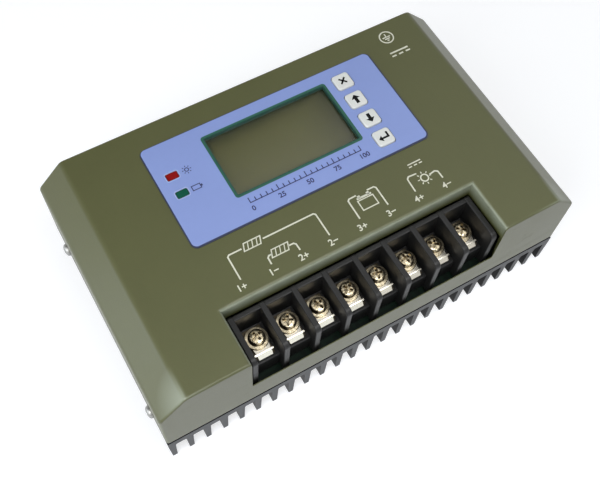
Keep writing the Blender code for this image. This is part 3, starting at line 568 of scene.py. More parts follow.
# %% Cover sheet
corners = [(-SIDE, BOTTOM), (-SIDE, TOP - SLOPE), (SLOPE - SIDE, TOP)]
corners += [(-x, z) for x, z in corners[::-1]]
line, out = rounded(corners, SHOULDER_BEND, closed=False)
stations = np.concatenate(((-lip_x,), across, (lip_x,)))
half_way = len(line) // 2
on_top = np.stack((stations, np.full(len(stations), TOP)), axis=1)
section = np.insert(line, half_way, on_top, axis=0)
section_out = np.insert(out, half_way, np.tile((0.0, 1.0), (len(stations), 1)), axis=0)

bend_in, bend_by = quarter(EDGE_BEND)
rows = np.concatenate((FRONT + bend_by, (lip_y,), along, BACK - bend_by[::-1]))
insets = np.concatenate((bend_in, np.zeros(1 + len(along)), bend_in[::-1]))
sheet = stacked((section, section_out), insets, rows, order=(0, 2, 1))

cell_x, cell_y = (section[1:, 0] + section[:-1, 0]) / 2, (rows[1:] + rows[:-1]) / 2
beside = np.abs(cell_x[None, :, None] - middle_x) < half_x
within = np.abs(cell_y[:, None, None] - middle_y) < half_y
open_cells = (beside & within).any(axis=2)
open_cells |= (np.abs(cell_x)[None] < lip_x) & (cell_y < lip_y)[:, None]
sheet_cells = cells(*sheet.shape[:2])[~open_cells]
print("cover sheet:", len(sheet_cells), "cells,", int(open_cells.sum()), "left open")

# %% [markdown]
# ## The folded cover: the lip
# Around the notch the sheet rolls down into a lip, as it does on the real cover to stiffen the
# cut. The lip is a second grid. It starts on the sheet's own points, so the two weld into one
# sheet.


# %% Notch lip
def rolled_lip(start, way, inset):
    """Point (i, j) starts at start[i] and goes along way[i] by r * sin t and down by
    r * (1 - cos t), with t from 0 to 90 degrees; the last column is straight below, at the lip's
    depth. inset lowers the points in the bend of the front edge."""
    short, drop = quarter(LIP_BEND)
    reach = np.append(LIP_BEND - short, LIP_BEND)
    tall = np.pad(TOP - inset[:, None] - drop, ((0, 0), (0, 1)), constant_values=TOP - LIP)
    return np.concatenate((start[:, None] + way[:, None] * reach[:, None], tall[..., None]), axis=2)


side_rows = rows < lip_y - LIP_BEND
side_y, side_in = rows[side_rows], insets[side_rows]
ahead, level = np.ones(len(side_y)), np.zeros(len(across) + 2)
start_x = np.concatenate((-lip_x * ahead, stations, lip_x * ahead))
start_y = np.concatenate((side_y, lip_y + level, side_y[::-1]))
way_x = np.concatenate((ahead, (1.0,), level[2:], (-1.0,), -ahead))
way_y = np.concatenate((0 * ahead, level - 1, 0 * ahead))
start, way = np.stack((start_x, start_y), axis=1), np.stack((way_x, way_y), axis=1)
lip = rolled_lip(start, way, np.concatenate((side_in, level, side_in[::-1])))
print("notch lip:", lip.shape[0], "points round,", lip.shape[1], "down")

# %% [markdown]
# ## The folded cover: walls and thickness
# The walls close the front and the back, and a sill runs below the notch. Solidify then gives the
# whole sheet its thickness. The sill's inner edge is thinned, as it looks in the photograph.

# %% Cover piece
left = int(np.argmin(np.abs(section[:, 0] + lip_x)))
notch_side = [(-NOTCH, FRONT, SILL), (-NOTCH, FRONT, BOTTOM)]
left_wall = np.concatenate((sheet[0, : left + 1], lip[0, 1:], notch_side))
right_wall = left_wall * (-1, 1, 1)
sill = [
    (-NOTCH, FRONT, BOTTOM), (NOTCH, FRONT, BOTTOM), (NOTCH, FRONT, SILL), (-NOTCH, FRONT, SILL)
]
walls = [(wall, [[np.arange(len(wall))]]) for wall in (left_wall, right_wall, sill, sheet[-1])]
shells = [(sheet, [sheet_cells]), (lip, [all_cells(*lip.shape[:2])]), *walls]
cover = add_piece(
    "cover_shell", shells, olive_paint, "housing", "top_cover", facing=(0, 0, 1),
    wall=WALL,
)
points = places(cover.data)
behind = (points[:, 1] > FRONT + WALL / 2) & (points[:, 1] < FRONT + 2 * WALL)
thinned = behind & (np.abs(points[:, 0]) < NOTCH + 1.0) & (np.abs(points[:, 2] - SILL) < 0.5)
points[thinned, 1] = FRONT + SILL_EDGE
cover.data.vertices.foreach_set("co", points.reshape(-1) * MM)
cover.data.update()
print("cover:", len(cover.data.polygons), "faces,", int(thinned.sum()), "sill points thinned")

# %% [markdown]
# ## Display posts
# Four steel posts hang from the cover and carry the display board. They hide inside, but an open
# box in a later scene would show them, so each one is a turned profile with its thinner pin.

# %% Display posts
POST_XS, POST_YS = (-52.5, 52.5), (-0.9, 42.1)
PIN, PIN_TIP, POST = 1.25, 0.3, 3.0
PIN_LOW, POST_LOW, POST_TOP = 52.1, 55.5, 63.4
pin_profile = [(0, PIN_LOW), (PIN - PIN_TIP, PIN_LOW), (PIN, PIN_LOW + PIN_TIP), (PIN, POST_LOW)]
post_profile = [*pin_profile, (POST, POST_LOW), (POST, POST_TOP), (0, POST_TOP)]
posts = [turned(post_profile, (x, y, 0)) for x in POST_XS for y in POST_YS]
add_piece("display_posts", posts, plated_steel, "housing")
print("posts:", len(posts))

# %% [markdown]
# ## The heat sink
# The base is an aluminium extrusion: one section, with 25 tapering fins, pushed through a die. The
# lesson makes it the same way. One fin's four corners are repeated by broadcasting, the corners
# are rounded as a die leaves them, and the whole comb is carried from front to back. A shallow
# rebate round its upper edge leaves the dark line that shows under the cover.

# %% Heat sink
FIN_COUNT, FIN_HEIGHT, BASE_TOP = 25, 15.0, 20.6
FIN_ROOT, FIN_TIP, ROOT_ROUND, TIP_ROUND, END_ROUND = 3.2, 2.2, 0.9, 0.5, 0.2
BASE_ROUND, OVERLAP = 0.3, 1.0
RAIL_OUT, RAIL_IN, RAIL_TOP, REBATE = 98.5, 94.5, 30.6, 1.1

fin_middles = np.linspace(FIN_ROOT / 2 - SIDE, SIDE - FIN_ROOT / 2, FIN_COUNT)
fin_x = np.array((-FIN_ROOT, -FIN_TIP, FIN_TIP, FIN_ROOT)) / 2
fin_z = np.array((FIN_HEIGHT, 0.0, 0.0, FIN_HEIGHT))
fins = np.stack(np.broadcast_arrays(fin_middles[:, None] + fin_x, fin_z), axis=-1).reshape(-1, 2)
fin_radii = np.tile((ROOT_ROUND, TIP_ROUND, TIP_ROUND, ROOT_ROUND), FIN_COUNT)
fin_radii[[0, -1]] = END_ROUND
comb = np.concatenate((fins, [(SIDE, BASE_TOP - REBATE), (-SIDE, BASE_TOP - REBATE)]))
comb_line, _ = rounded(comb, np.append(fin_radii, (BASE_ROUND, BASE_ROUND)), 4)
plate_low = (REBATE - SIDE, FRONT + REBATE, FIN_HEIGHT + OVERLAP)
plate = block(plate_low, (SIDE - REBATE, BACK - REBATE, BASE_TOP))
rail_y = BACK - WALL - FIT
rails = [
    block((low, -rail_y, BASE_TOP - OVERLAP), (high, rail_y, RAIL_TOP))
    for low, high in ((-RAIL_OUT, -RAIL_IN), (RAIL_IN, RAIL_OUT))
]
sink = [extruded(comb_line, FRONT, BACK, order=(0, 2, 1)), plate, *rails]
add_piece("finned_base", sink, black_anodised, "housing", "heat_sink")
print("fins:", FIN_COUNT, "from", len(comb_line), "outline points")

# %% [markdown]
# ## The terminal block
# The block is moulded: a low deck, a rear wall, and nine barriers that keep the wires apart. Each
# barrier is a rounded plate stood on edge. The deck and wall are a solid of box cells: each cell
# is filled or empty, and a face is put wherever filled meets empty, so pockets cost nothing extra.

# %% Terminal block
WAYS, PITCH, BARRIER, BARRIER_EDGE = 8, 14.4, 2.6, 0.45
TERMINAL_XS = (np.arange(WAYS) - (WAYS - 1) / 2) * PITCH
NOSE, DECK_FRONT, BLOCK_REAR, REAR_WALL = -57.5, -54.0, -35.3, 2.5
BLOCK_LOW, DECK, BARRIER_TOP = 31.6, 42.4, 56.9
POCKET, POCKET_FRONT, POCKET_BACK, POCKET_LOW = 4.4, -47.6, -39.0, 32.6
INSET, DECK_ROUND, FENCE_ROUNDS = 0.2, 0.4, (0.6, 0.6, 0.9, 2.6)


def cell_solid(lines, filled):
    """The skin of a solid made of box cells: along each axis, a face lies wherever filled changes
    between neighbours, padded with empty cells outside."""
    grid = np.stack(np.meshgrid(*lines, indexing="ij"), axis=-1)
    number = np.arange(grid[..., 0].size).reshape(grid.shape[:3])
    blocks = []
    for axis in range(3):
        changes = np.argwhere(np.diff(np.pad(filled, 1).astype(int), axis=axis))
        keep = [other for other in range(3) if other != axis]
        start = changes.copy()
        start[:, keep] -= 1
        steps = np.zeros((4, 3), int)
        steps[[1, 2], keep[0]] = 1
        steps[[2, 3], keep[1]] = 1
        spots = start[:, None] + steps
        blocks.append(number[spots[..., 0], spots[..., 1], spots[..., 2]])
    return grid, blocks


half_block = (WAYS * PITCH + BARRIER) / 2 - INSET
pocket_lines = np.stack((TERMINAL_XS - POCKET, TERMINAL_XS + POCKET), axis=1).reshape(-1)
lines = [
    np.concatenate(((-half_block,), pocket_lines, (half_block,))),
    np.array((DECK_FRONT, POCKET_FRONT, POCKET_BACK, BLOCK_REAR - REAR_WALL, BLOCK_REAR - INSET)),
    np.array((BLOCK_LOW + INSET, POCKET_LOW, DECK, BARRIER_TOP - 2 * INSET)),
]
filled = np.zeros([len(line) - 1 for line in lines], bool)
filled[:, :, :2] = True
filled[:, 3, 2] = True
filled[1::2, 1, 1] = False
skin = [cell_solid(lines, filled)]
deck = add_piece("terminal_deck", skin, black_moulded, "housing", bevel=DECK_ROUND)
corners = [
    (NOSE, BLOCK_LOW), (BLOCK_REAR, BLOCK_LOW), (BLOCK_REAR, BARRIER_TOP), (NOSE, BARRIER_TOP)
]
fence = rounded(corners, FENCE_ROUNDS)
fence_xs = (np.arange(WAYS + 1) - WAYS / 2) * PITCH
fences = [
    pillow(fence, x - BARRIER / 2, x + BARRIER / 2, BARRIER_EDGE, order=(1, 2, 0)) for x in fence_xs
]
add_piece("terminal_barriers", fences, black_moulded, "housing", "terminal_block")
print("deck faces:", len(deck.data.polygons), "barriers:", len(fences))

# %% [markdown]
# ## The wire clamps
# Each clamp is a saddle pressed from plated sheet: round under the screw, with a narrower tongue
# in front of it, and two small ears where the tongue bends down into the lip that guides the wire
# in. Half of it is a grid across (from the screw hole or the middle, to the edge) and along; the
# other half is its mirror image. It rides with its own body, so it lifts with the screw.

# %% Wire clamps
SCREW_Y, CLAMP_SHEET = -45.0, 0.55
HOLE, ROUND, EAR = 2.3, 5.0, 4.3
round_at = ROUND * np.sin(np.radians(np.linspace(-44, 88, 12)))
edge_at = np.concatenate(((-8.2, -6.7, -6.6, -5.8, -5.7), round_at))
edge_wide = np.concatenate(((3.1, 3.3, EAR, EAR, 3.3), np.sqrt(ROUND**2 - round_at**2)))
rise_at = np.array((-8.2, -6.7, -6.4, -6.1, ROUND))
rise_to = np.array((44.45, 45.75, 45.93, 46.0, 46.0))
hole_at = HOLE * np.sin(np.linspace(-math.pi / 2, math.pi / 2, 17))
place = np.unique(np.round(np.concatenate((edge_at, rise_at, hole_at)), 5))
inner = np.sqrt(np.maximum(HOLE**2 - place**2, 0.0))
outer = np.interp(place, edge_at, edge_wide)
half_width = inner[:, None] + np.linspace(0, 1, 5) * (outer - inner)[:, None]
tall = np.broadcast_to(np.interp(place, rise_at, rise_to)[:, None], half_width.shape)
back = np.broadcast_to(place[:, None], half_width.shape)
halves = [np.stack((side * half_width, back, tall), axis=-1) for side in (-1, 1)]
for number, x in enumerate(TERMINAL_XS, 1):
    shells = [(half + (x, SCREW_Y, 0), [all_cells(*half_width.shape)]) for half in halves]
    name = f"terminal_clamp_{number}"
    add_piece(
        f"wire_saddle_{number}", shells, plated_steel, name, name,
        facing=(0, 0, 1), wall=CLAMP_SHEET,
    )
print("clamps:", number, "of", 2 * half_width.size, "points")

# %% [markdown]
# ## Screws
# A terminal screw has a flange like a washer, a steep head, and on top a short slot with a deeper
# cross in it, so either driver fits. Cutting slots with Booleans leaves ragged faces. Here the
# head is a polar grid instead: at each angle, the recess reaches as far as its slot or its cross
# does, and the exact corner angles are among the columns, so the recess has straight walls and
# sharp corners.


# %% Screw shape
def slot_reach(angle, half_long, half_wide):
    """How far a straight slot reaches at an angle: the nearer of its end and its side."""
    end = half_long / np.maximum(np.abs(np.cos(angle)), 1e-9)
    return np.minimum(end, half_wide / np.maximum(np.abs(np.sin(angle)), 1e-9))


def screw(head, seat, shank, foot, slot, cross, floor, pit):
    """A screw about Z, in rings of radius r(a) and height h(a): the shank, the seat, the head's
    profile (radius, height) from its rim inwards, the recess walls down to floor, and a deeper
    cross down to pit. slot and cross are (half length, half width)."""
    head_r, head_z = np.array(head).T
    corner_x = np.array((slot[0], cross[1], cross[1], cross[0], 1.0))
    corner_y = np.array((slot[1], slot[1], cross[0], cross[1], 1.0))
    corner = np.arctan2(corner_y, corner_x)
    even = np.linspace(0, 2 * math.pi, 40, endpoint=False)
    quarters = (even, corner, math.pi - corner, math.pi + corner, 2 * math.pi - corner)
    angle = np.unique(np.round(np.concatenate(quarters), 6))
    arms = np.maximum(slot_reach(angle, *cross), slot_reach(angle + math.pi / 2, *cross))
    recess = np.maximum(slot_reach(angle, *slot), arms)
    around = np.ones(len(angle))
    rings = [radius * around for radius in head_r if radius > slot[0]]
    rings += [rings[-1] + (recess - rings[-1]) * share for share in (0.5, 1.0)]
    radii = [0 * around, 0.8 * shank * around, shank * around, shank * around, head_r[0] * around]
    levels = [level * around for level in (foot, foot, foot + 0.2 * shank, seat, seat)]
    radii += [*rings, recess, arms, 0.8 * arms, 0 * around]
    levels += [np.interp(radius, head_r[::-1], head_z[::-1]) for radius in rings]
    levels += [level * around for level in (floor, floor, pit, pit)]
    return angle, np.array(radii), np.array(levels)


def twisted(shape, twist):
    """A screw's points about Z after a twist, (r cos a, r sin a, h), and its faces."""
    angle, radius, level = shape
    angle = angle + twist
    points = np.stack((radius * np.cos(angle), radius * np.sin(angle), level), axis=-1)
    return points, [all_cells(*radius.shape, ring_columns=True)]


print("screw shape ready")

# %% [markdown]
# The eight terminal screws share that shape. Nobody stops every screw at the same angle, so each
# one is turned differently before it is put on its clamp's screw body. One mask by height darkens
# the plating on the steep flank and in the recess: painted shade in the hollows and a painted dark
# reflection on the flank. One mask by noise adds stains in blotches, mostly on top.

# %% Terminal screws
TWISTS = np.radians((20, 64, 112, 35, 78, 10, 140, 50))
FLANGE = [(4.95, 46.7), (4.8, 46.95), (3.75, 47.05)]
TERMINAL_HEAD = [
    *FLANGE, (3.55, 47.3), (3.45, 48.4), (3.25, 48.9), (2.9, 49.15), (1.6, 49.36), (0, 49.4)
]
STAIN_AND_SHADE = (0.05, 0.037, 0.017)
screw_plating, shader, spot = finish(
    "screw_plating", BRASS, 0.20, (420.0, 0.75), (2600.0, 0.00001), scuffs=0.18, Metallic=1.0
)
z = xyz(in_mm(spot))[2]
uneven = ramp(noise(spot, 320.0, 1.0), 0.40, 0.52, 0.25, 0.92)
# Painted shade and painted dark reflection: flank and recess darkened by height; the blotches are
# stains.
shaded_flank = masked(uneven, (z, 47.1, 47.5), (z, 49.0, 48.5))
blotches = ramp(noise(spot, 900.0), 0.42, 0.58, 0.0, 0.80)
stained = sums("MULTIPLY", blotches, ramp(z, 47.05, 47.3, 0.45, 1.0))
overlay(shader, sums("MAXIMUM", shaded_flank, stained), STAIN_AND_SHADE)
terminal_screw = screw(
    TERMINAL_HEAD, seat=46.3, shank=2.0, foot=36.5, slot=(2.7, 0.55), cross=(2.25, 0.58),
    floor=48.3, pit=47.3,
)
for number, (x, twist) in enumerate(zip(TERMINAL_XS, TWISTS), 1):
    points, faces = twisted(terminal_screw, twist)
    shells, name = [(points + (x, SCREW_Y, 0), faces)], f"terminal_screw_{number}"
    add_piece(f"slotted_screw_{number}", shells, screw_plating, name, name)
print("terminal screws:", number, "of", points[..., 0].size, "points")

# %% [markdown]
# The cover screws have a plain cross and lie on their sides, so the same points change places: the
# screw's height becomes X, and its round becomes Y and Z.

# %% Cover screws
COVER_SCREWS = [(side, y) for side in (-1, 1) for y in (-45.0, 40.0)]
COVER_SCREW_Z, COVER_TWIST = 26.4, math.radians(25)
PAN_HEAD = [(2.9, 0.5), (2.75, 1.0), (2.4, 1.4), (1.8, 1.72), (1.0, 1.93), (0, 2.0)]
pan_screw = screw(
    PAN_HEAD, seat=0.05, shank=1.5, foot=-5.5, slot=(1.6, 0.42), cross=(1.6, 0.42), floor=1.0,
    pit=0.5,
)
for number, (side, y) in enumerate(COVER_SCREWS, 1):
    points, faces = twisted(pan_screw, COVER_TWIST * number)
    points = points[..., [2, 0, 1]] * (side, 1, 1) + (side * SIDE, y, COVER_SCREW_Z)
    name, shells = f"cover_screw_{number}", [(points, faces)]
    add_piece(f"pan_screw_{number}", shells, dull_steel, "housing", name)
print("cover screws:", number)

# %% [markdown]
# ## Keys
# A key is a pale moulded cap with a softly rounded rim. Ears below the cover keep it in, and a
# stem presses the switch. The cap is one rounded plate; the sign on it is a thin dark layer on the
# same body, so it goes down with the key. Each sign is a plain shape: a cross to leave, arrows to
# move, and a bent arrow to accept.

# %% Keys
CAP_LOW, CAP_TOP, CAP_CORNER, CAP_EDGE = 61.7, 65.22, 1.5, 0.55
EAR_LOW, EAR_TOP, EAR_HALF = 61.4, 62.6, (4.95, 2.55)
STEM, STEM_LOW, STEM_TOP = 1.7, 57.65, 62.0
SIGN, SIGN_LOW, SIGN_TOP = 1.05, CAP_TOP - 0.02, CAP_TOP + 0.04
BLACK_INK, INK_GRAIN = (0.006, 0.006, 0.006), (3000.0, 0.000005)
dark_ink = simple("dark_ink", BLACK_INK, 0.6, (300.0, 0.15), INK_GRAIN, Specular_IOR_Level=0.1)
arrow_side = [(2.0, 0.3), (0.75, 0.3), (0.75, -2.2)]
arrow = np.array(((0, 2.3), *arrow_side, *((-x, y) for x, y in arrow_side[::-1])))
cross_arm = np.array(((-2.0, -0.4), (2.0, -0.4), (2.0, 0.4), (-2.0, 0.4)))
slant = np.array(((1, 1), (-1, 1))) * math.sqrt(0.5)
bent_head = [(-0.9, -1.05), (-0.9, -2.1), (-2.6, -0.6), (-0.9, 0.9), (-0.9, -0.15)]
bent = np.array((*bent_head, (1.5, -0.15), (1.5, 1.9), (2.4, 1.9), (2.4, -1.05)))
signs = {
    "esc": [cross_arm @ slant, cross_arm @ slant * (1, -1)],
    "up": [arrow],
    "down": [-arrow],
    "enter": [bent[::-1]],
}
for name, y in KEY_YS.items():
    body, middle = f"{name}_key", np.array((KEY_X, y))
    cap = pillow(oblong(*KEY_HALF, CAP_CORNER, middle), CAP_LOW, CAP_TOP, CAP_EDGE)
    ears = block((*(middle - EAR_HALF), EAR_LOW), (*(middle + EAR_HALF), EAR_TOP))
    stem = turned([(0, STEM_LOW), (STEM, STEM_LOW), (STEM, STEM_TOP), (0, STEM_TOP)], (*middle, 0))
    add_piece(f"{name}_cap", [cap, ears, stem], key_plastic, body, body)
    drawn = [extruded(sign * SIGN + middle, SIGN_LOW, SIGN_TOP) for sign in signs[name]]
    add_piece(f"{name}_sign", drawn, dark_ink, body)
print("keys:", ", ".join(KEY_YS))

# %% [markdown]
# ## Printing
# The cover carries a wiring diagram in cream ink, a few hundredths of a millimetre thick. Print
# could be painted in the material, but a drawn line has crisp corners as geometry. A ribbon
# carries a small rectangle along a path: at each bend, both edges move out along the corner's
# mitre, so the line keeps its width. Characters come from Blender's own font, turned into a mesh
# straight away.


# %% Print helpers
CAPITAL, SWELL = 0.7, 0.08


def ribbon(path, width, low, high, closed=False):
    """A line of one width along a path, seen in plan. With n and m the sides' unit normals at a
    corner, its edges lie at path +- width * (n + m) / |n + m| ** 2."""
    path = np.asarray(path, float)
    ahead = np.roll(path, -1, axis=0) - path
    ahead /= np.linalg.norm(ahead, axis=1, keepdims=True)
    if closed:
        behind = np.roll(ahead, 1, axis=0)
    else:
        ahead[-1] = ahead[-2]
        behind = np.concatenate((ahead[:1], ahead[:-1]))
    both = (ahead + behind)[:, ::-1] * (-1, 1)
    mitre = both * width / np.sum(both**2, axis=1, keepdims=True)
    edges = np.stack((path + mitre, path + mitre, path - mitre, path - mitre), axis=1)
    tall = np.broadcast_to(np.array((low, high, high, low))[None, :, None], (len(path), 4, 1))
    faces = [all_cells(len(path), 4, ring_rows=closed, ring_columns=True)]
    if not closed:
        faces += [[np.arange(4)], [np.arange(4) + 4 * (len(path) - 1)]]
    return np.concatenate((edges, tall), axis=2), faces


def characters(words, height, middle, low, high):
    """Characters of a height about a middle, seen in plan, as a shell from low to high."""
    curve = bpy.data.curves.new("words", "FONT")
    curve.body, curve.size = words, height * MM / CAPITAL
    curve.align_x, curve.align_y, curve.resolution_u = "CENTER", "CENTER", 3
    curve.extrude, curve.offset = (high - low) * MM / 2, SWELL * MM
    drawn = applied(curve)
    faces = [[list(face.vertices)] for face in drawn.polygons]
    return places(drawn) + (*middle, (low + high) / 2), faces


def circle(middle, radius, sides=24):
    """Points round a circle."""
    angle = np.linspace(0, 2 * math.pi, sides, endpoint=False)
    return np.asarray(middle) + radius * np.stack((np.cos(angle), np.sin(angle)), axis=1)


def rays(middle, inner, outer, count=8):
    """Short paths that point away from a middle."""
    return np.stack((circle(middle, inner, count), circle(middle, outer, count)), axis=1)


def printing(low, high):
    """The ribbon and characters functions for ink that lies between two heights."""
    return partial(ribbon, low=low, high=high), partial(characters, low=low, high=high)


print("print helpers ready")

# %% [markdown]
# ## The wiring diagram on the cover
# Each pair of terminals has a sign for what it serves: two solar panels, a battery and a lamp.
# Lines run from the sign to its two terminals. Numbers with plus and minus stand beside the
# terminals, and the common signs for earth and for direct current fill two more places of print.

# %% Wiring diagram
WIRES = [
    [(-40.4, -14.3), (-46.2, -14.3), (-47.0, -15.0), (-47.1, -26.1)],
    [(-30.6, -14.3), (-6.9, -14.3), (-6.1, -15.0), (-6.0, -26.1)],
    [(-30.6, -22.2), (-32.2, -22.2), (-33.0, -23.0), (-33.1, -26.1)],
    [(-23.4, -22.2), (-20.8, -22.2), (-20.0, -23.0), (-19.9, -26.1)],
    [(13.2, -15.4), (9.7, -15.5), (9.0, -16.2), (8.9, -25.6)],
    [(18.7, -15.3), (22.0, -15.3), (22.8, -16.1), (22.8, -25.6)],
    [(41.6, -18.6), (37.7, -18.3), (36.7, -19.2), (36.4, -25.8)],
    [(46.4, -21.6), (49.3, -21.2), (50.4, -22.0), (50.5, -25.7)],
]
PANELS, LAMP, EARTH = ((-35.5, -14.3), (-27.0, -22.2)), (43.6, -22.0), np.array((70.6, 50.2))
BATTERY = [(12.4, -23.0), (19.8, -23.0), (19.8, -18.2), (12.4, -18.2)]
NUMBER_XS, NUMBER_Y = (-48.2, -33.7, -19.9, -6.0, 8.0, 22.2, 36.1, 50.2), -29.4
DIRECT_CURRENTS = ((71.7, 40.2, 1.6), (43.8, -14.0, 1.1))
DASHES = ((-3.0, 3.0, 0.6), (-3.0, -1.6, -0.6), (-0.7, 0.7, -0.6), (1.6, 3.0, -0.6))

cream_ink = simple("cream_ink", (0.66, 0.67, 0.56), 0.5, (300.0, 0.10), INK_GRAIN)
line, words = printing(TOP - 0.03, TOP + 0.04)
diagram = [line(path, 0.65) for path in WIRES]
for x, y in PANELS:
    panel = [(x - 4.4, y - 1.6), (x + 3.2, y - 1.6), (x + 4.4, y + 1.8), (x - 3.2, y + 1.8)]
    diagram.append(line(panel, 0.5, closed=True))
    slants = ([(x - 0.6 + d, y - 1.6), (x + 0.6 + d, y + 1.8)] for d in (-1.9, 0.1, 2.1))
    diagram += [line(path, 0.4) for path in slants]
diagram += [line(BATTERY, 0.5, closed=True), line([(12.6, -17.2), (19.6, -17.2)], 0.9)]
diagram += [line([(x, -17.2), (x, -15.9)], 1.3) for x in (13.9, 18.3)]
diagram.append(line(circle(LAMP, 1.7), 0.6, closed=True))
diagram += [line(ray, 0.45) for ray in rays(LAMP, 2.4, 3.3)]
for number, x in enumerate(NUMBER_XS):
    diagram.append(words(f"{number // 2 + 1}{'+−'[number % 2]}", 2.9, (x, NUMBER_Y)))
diagram.append(line(circle(EARTH, 3.3), 0.6, closed=True))
diagram.append(line([EARTH + (0, 2.1), EARTH + (0, 0.1)], 0.6))
for half, y in ((2.0, 0.1), (1.3, -0.9), (0.5, -1.9)):
    diagram.append(line([EARTH + (-half, y), EARTH + (half, y)], 0.6))
for x, y, unit in DIRECT_CURRENTS:
    for low, high, up in DASHES:
        ends = np.array(((low, up), (high, up))) * unit + (x, y)
        diagram.append(line(ends, 0.5 * unit))
add_piece("wiring_print", diagram, cream_ink, "housing")
print("wiring diagram:", len(diagram), "marks")

# %% [markdown]
# ## The face label
# The label is a printed film, so its solid stays and only its material changes: a lavender blue
# with a green line round the window, a thin dark line just inside its cut edge, and a paler band
# round each indicator. Each of these is a distance to a rectangle, which the Edge group gives.

# %% Label finish
LABEL_Y, LABEL_HALF, LABEL_CORNER, RIM_SHIFT = 20.6, (57.5, 26.5), 3.0, 0.3
CUT_CORNER, SOFT = 0.4, 0.05
LAVENDER, PALE = (0.238, 0.318, 0.640), (0.36, 0.44, 0.72)
GREEN, NAVY = (0.014, 0.096, 0.060), (0.022, 0.030, 0.075)
label_film, shader, spot = finish(
    "label_film", LAVENDER, 0.42, (50.0, 0.05), (1500.0, 0.00001), Coat_Weight=0.15
)


def edge_band(middle, half, corner, low, high):
    """A mask that is 1 where the distance to a rectangle lies between low and high."""
    sizes = {"Centre": (*middle, 0.0), "Half": (*half, 0.0), "Corner": corner}
    away = use("Edge", Place=in_mm(spot), **sizes)["Distance"]
    return masked(ramp(away, low - SOFT, low + SOFT), (away, high + SOFT, high - SOFT))


for y in LED_YS.values():
    overlay(shader, edge_band((LED_X, y), LED_HALF, CUT_CORNER, -1.0, 0.75), PALE)
border = edge_band((0.0, WINDOW_Y), WINDOW_HALF, CUT_CORNER, -1.0, 1.05)
overlay(shader, border, GREEN)
rim = edge_band((0.0, LABEL_Y + RIM_SHIFT), LABEL_HALF, LABEL_CORNER, -0.55, 1.0)
overlay(shader, rim, NAVY)
print("label finish:", len(label_film.node_tree.nodes), "nodes")

# %% [markdown]
# In front of the window the label carries a plain scale from 0 to 100, in dark blue, and beside
# the indicators a small sun and a small battery, so that the places of print are filled with
# common signs.

# %% Label print
FILM_TOP, SCALE_Y, SCALE_XS = 64.5, 2.6, np.linspace(-27.0, 27.0, 21)
SUN, CELL = (-43.0, 29.65), np.array((-43.2, 20.05))
navy_ink = simple("navy_ink", (0.018, 0.022, 0.10), 0.5, (300.0, 0.12), INK_GRAIN)
line, words = printing(FILM_TOP - 0.02, FILM_TOP + 0.03)
marks = [line([(x, SCALE_Y), (x, 4.4 if n % 5 else 5.2)], 0.45) for n, x in enumerate(SCALE_XS)]
marks.append(line([(-27.2, SCALE_Y), (27.2, SCALE_Y)], 0.45))
marks += [words(str(25 * n), 2.3, (SCALE_XS[5 * n], -0.4)) for n in range(5)]
marks.append(line(circle(SUN, 0.85, 16), 0.4, closed=True))
marks += [line(ray, 0.35) for ray in rays(SUN, 1.45, 2.1)]
marks.append(line(CELL + ((-1.9, -1.1), (1.9, -1.1), (1.9, 1.1), (-1.9, 1.1)), 0.4, closed=True))
marks.append(line(CELL + ((2.1, 0.0), (2.8, 0.0)), 1.0))
add_piece("label_print", marks, navy_ink, "housing")
print("label print:", len(marks), "marks")

# %% [markdown]
# ## The window
# The label's opening shows the thickness of the film and the sheet. A thin dark green liner covers
# that cut, as the printed border does on the real one. It is a small section carried round the
# window's outline. Behind it lie a clear sheet and the unlit display.

# %% Window liner
LINER, LINER_LOW, LINER_TOP, LINER_CORNER = 0.35, 62.65, 64.55, 0.6
green_edge = simple("green_edge", (0.008, 0.060, 0.045), 0.35, (200.0, 0.12))
outline = oblong(*WINDOW_HALF, LINER_CORNER, (0.0, WINDOW_Y))
insets = np.array((0.0, LINER, LINER, 0.0))
rings = stacked(outline, insets, np.array((LINER_LOW, LINER_LOW, LINER_TOP, LINER_TOP)))
liner = [(rings, [all_cells(*rings.shape[:2], ring_rows=True, ring_columns=True)])]
add_piece("window_liner", liner, green_edge, "housing")
print("liner:", rings.shape[1], "points round")

# %% [markdown]
# The unlit display is a fine grid of pixels with slightly paler gaps. It lies deep behind the
# label, so its back and right edges fade into shade.

# %% Display finishes
LCD, PIXEL_GAP, LCD_SHADE = (0.108, 0.105, 0.036), (0.118, 0.115, 0.046), (0.016, 0.019, 0.008)
lcd_glass, shader, spot = finish(
    "lcd_glass", LCD, 0.5, (20.0, 0.10), (800.0, 0.000004), scuffs=0.02, Specular_IOR_Level=0.2
)
pixel = xyz(arrows("FRACTION", arrows("MULTIPLY", spot, (2200.0, 2100.0, 0.0))))
gap = sums("MAXIMUM", *(ramp(way, 0.80, 0.88) for way in pixel[:2]))
overlay(shader, sums("MULTIPLY", gap, 0.25), PIXEL_GAP)
x, y, _ = xyz(in_mm(spot))
to_right = ramp(x, 6.0, 31.0)
to_back = ramp(y, WINDOW_Y + 6.5, WINDOW_Y + 16.0)
nearer = sums("POWER", sums("MAXIMUM", to_right, to_back), 2.0)
overlay(shader, sums("MULTIPLY", nearer, 0.75), LCD_SHADE)

clear_sheet = simple(
    "clear_sheet", (0.96, 0.97, 0.96), 0.07, (60.0, 0.02), (400.0, 0.000002), scuffs=0.04,
    IOR=1.45, Transmission_Weight=1.0,
)
lens = {"tone": (400.0, 0.15), "grain": (1500.0, 0.00001), "Specular_IOR_Level": 0.2}
red_lens = simple("red_lens", (0.24, 0.004, 0.003), 0.35, **lens)
green_lens = simple("green_lens", (0.004, 0.080, 0.047), 0.35, **lens)
grey_cable = simple(
    "grey_cable", (0.30, 0.31, 0.33), 0.55, (80.0, 0.08), (800.0, 0.0001), stretch=(1, 0.01, 0.01)
)
print("display finishes ready")
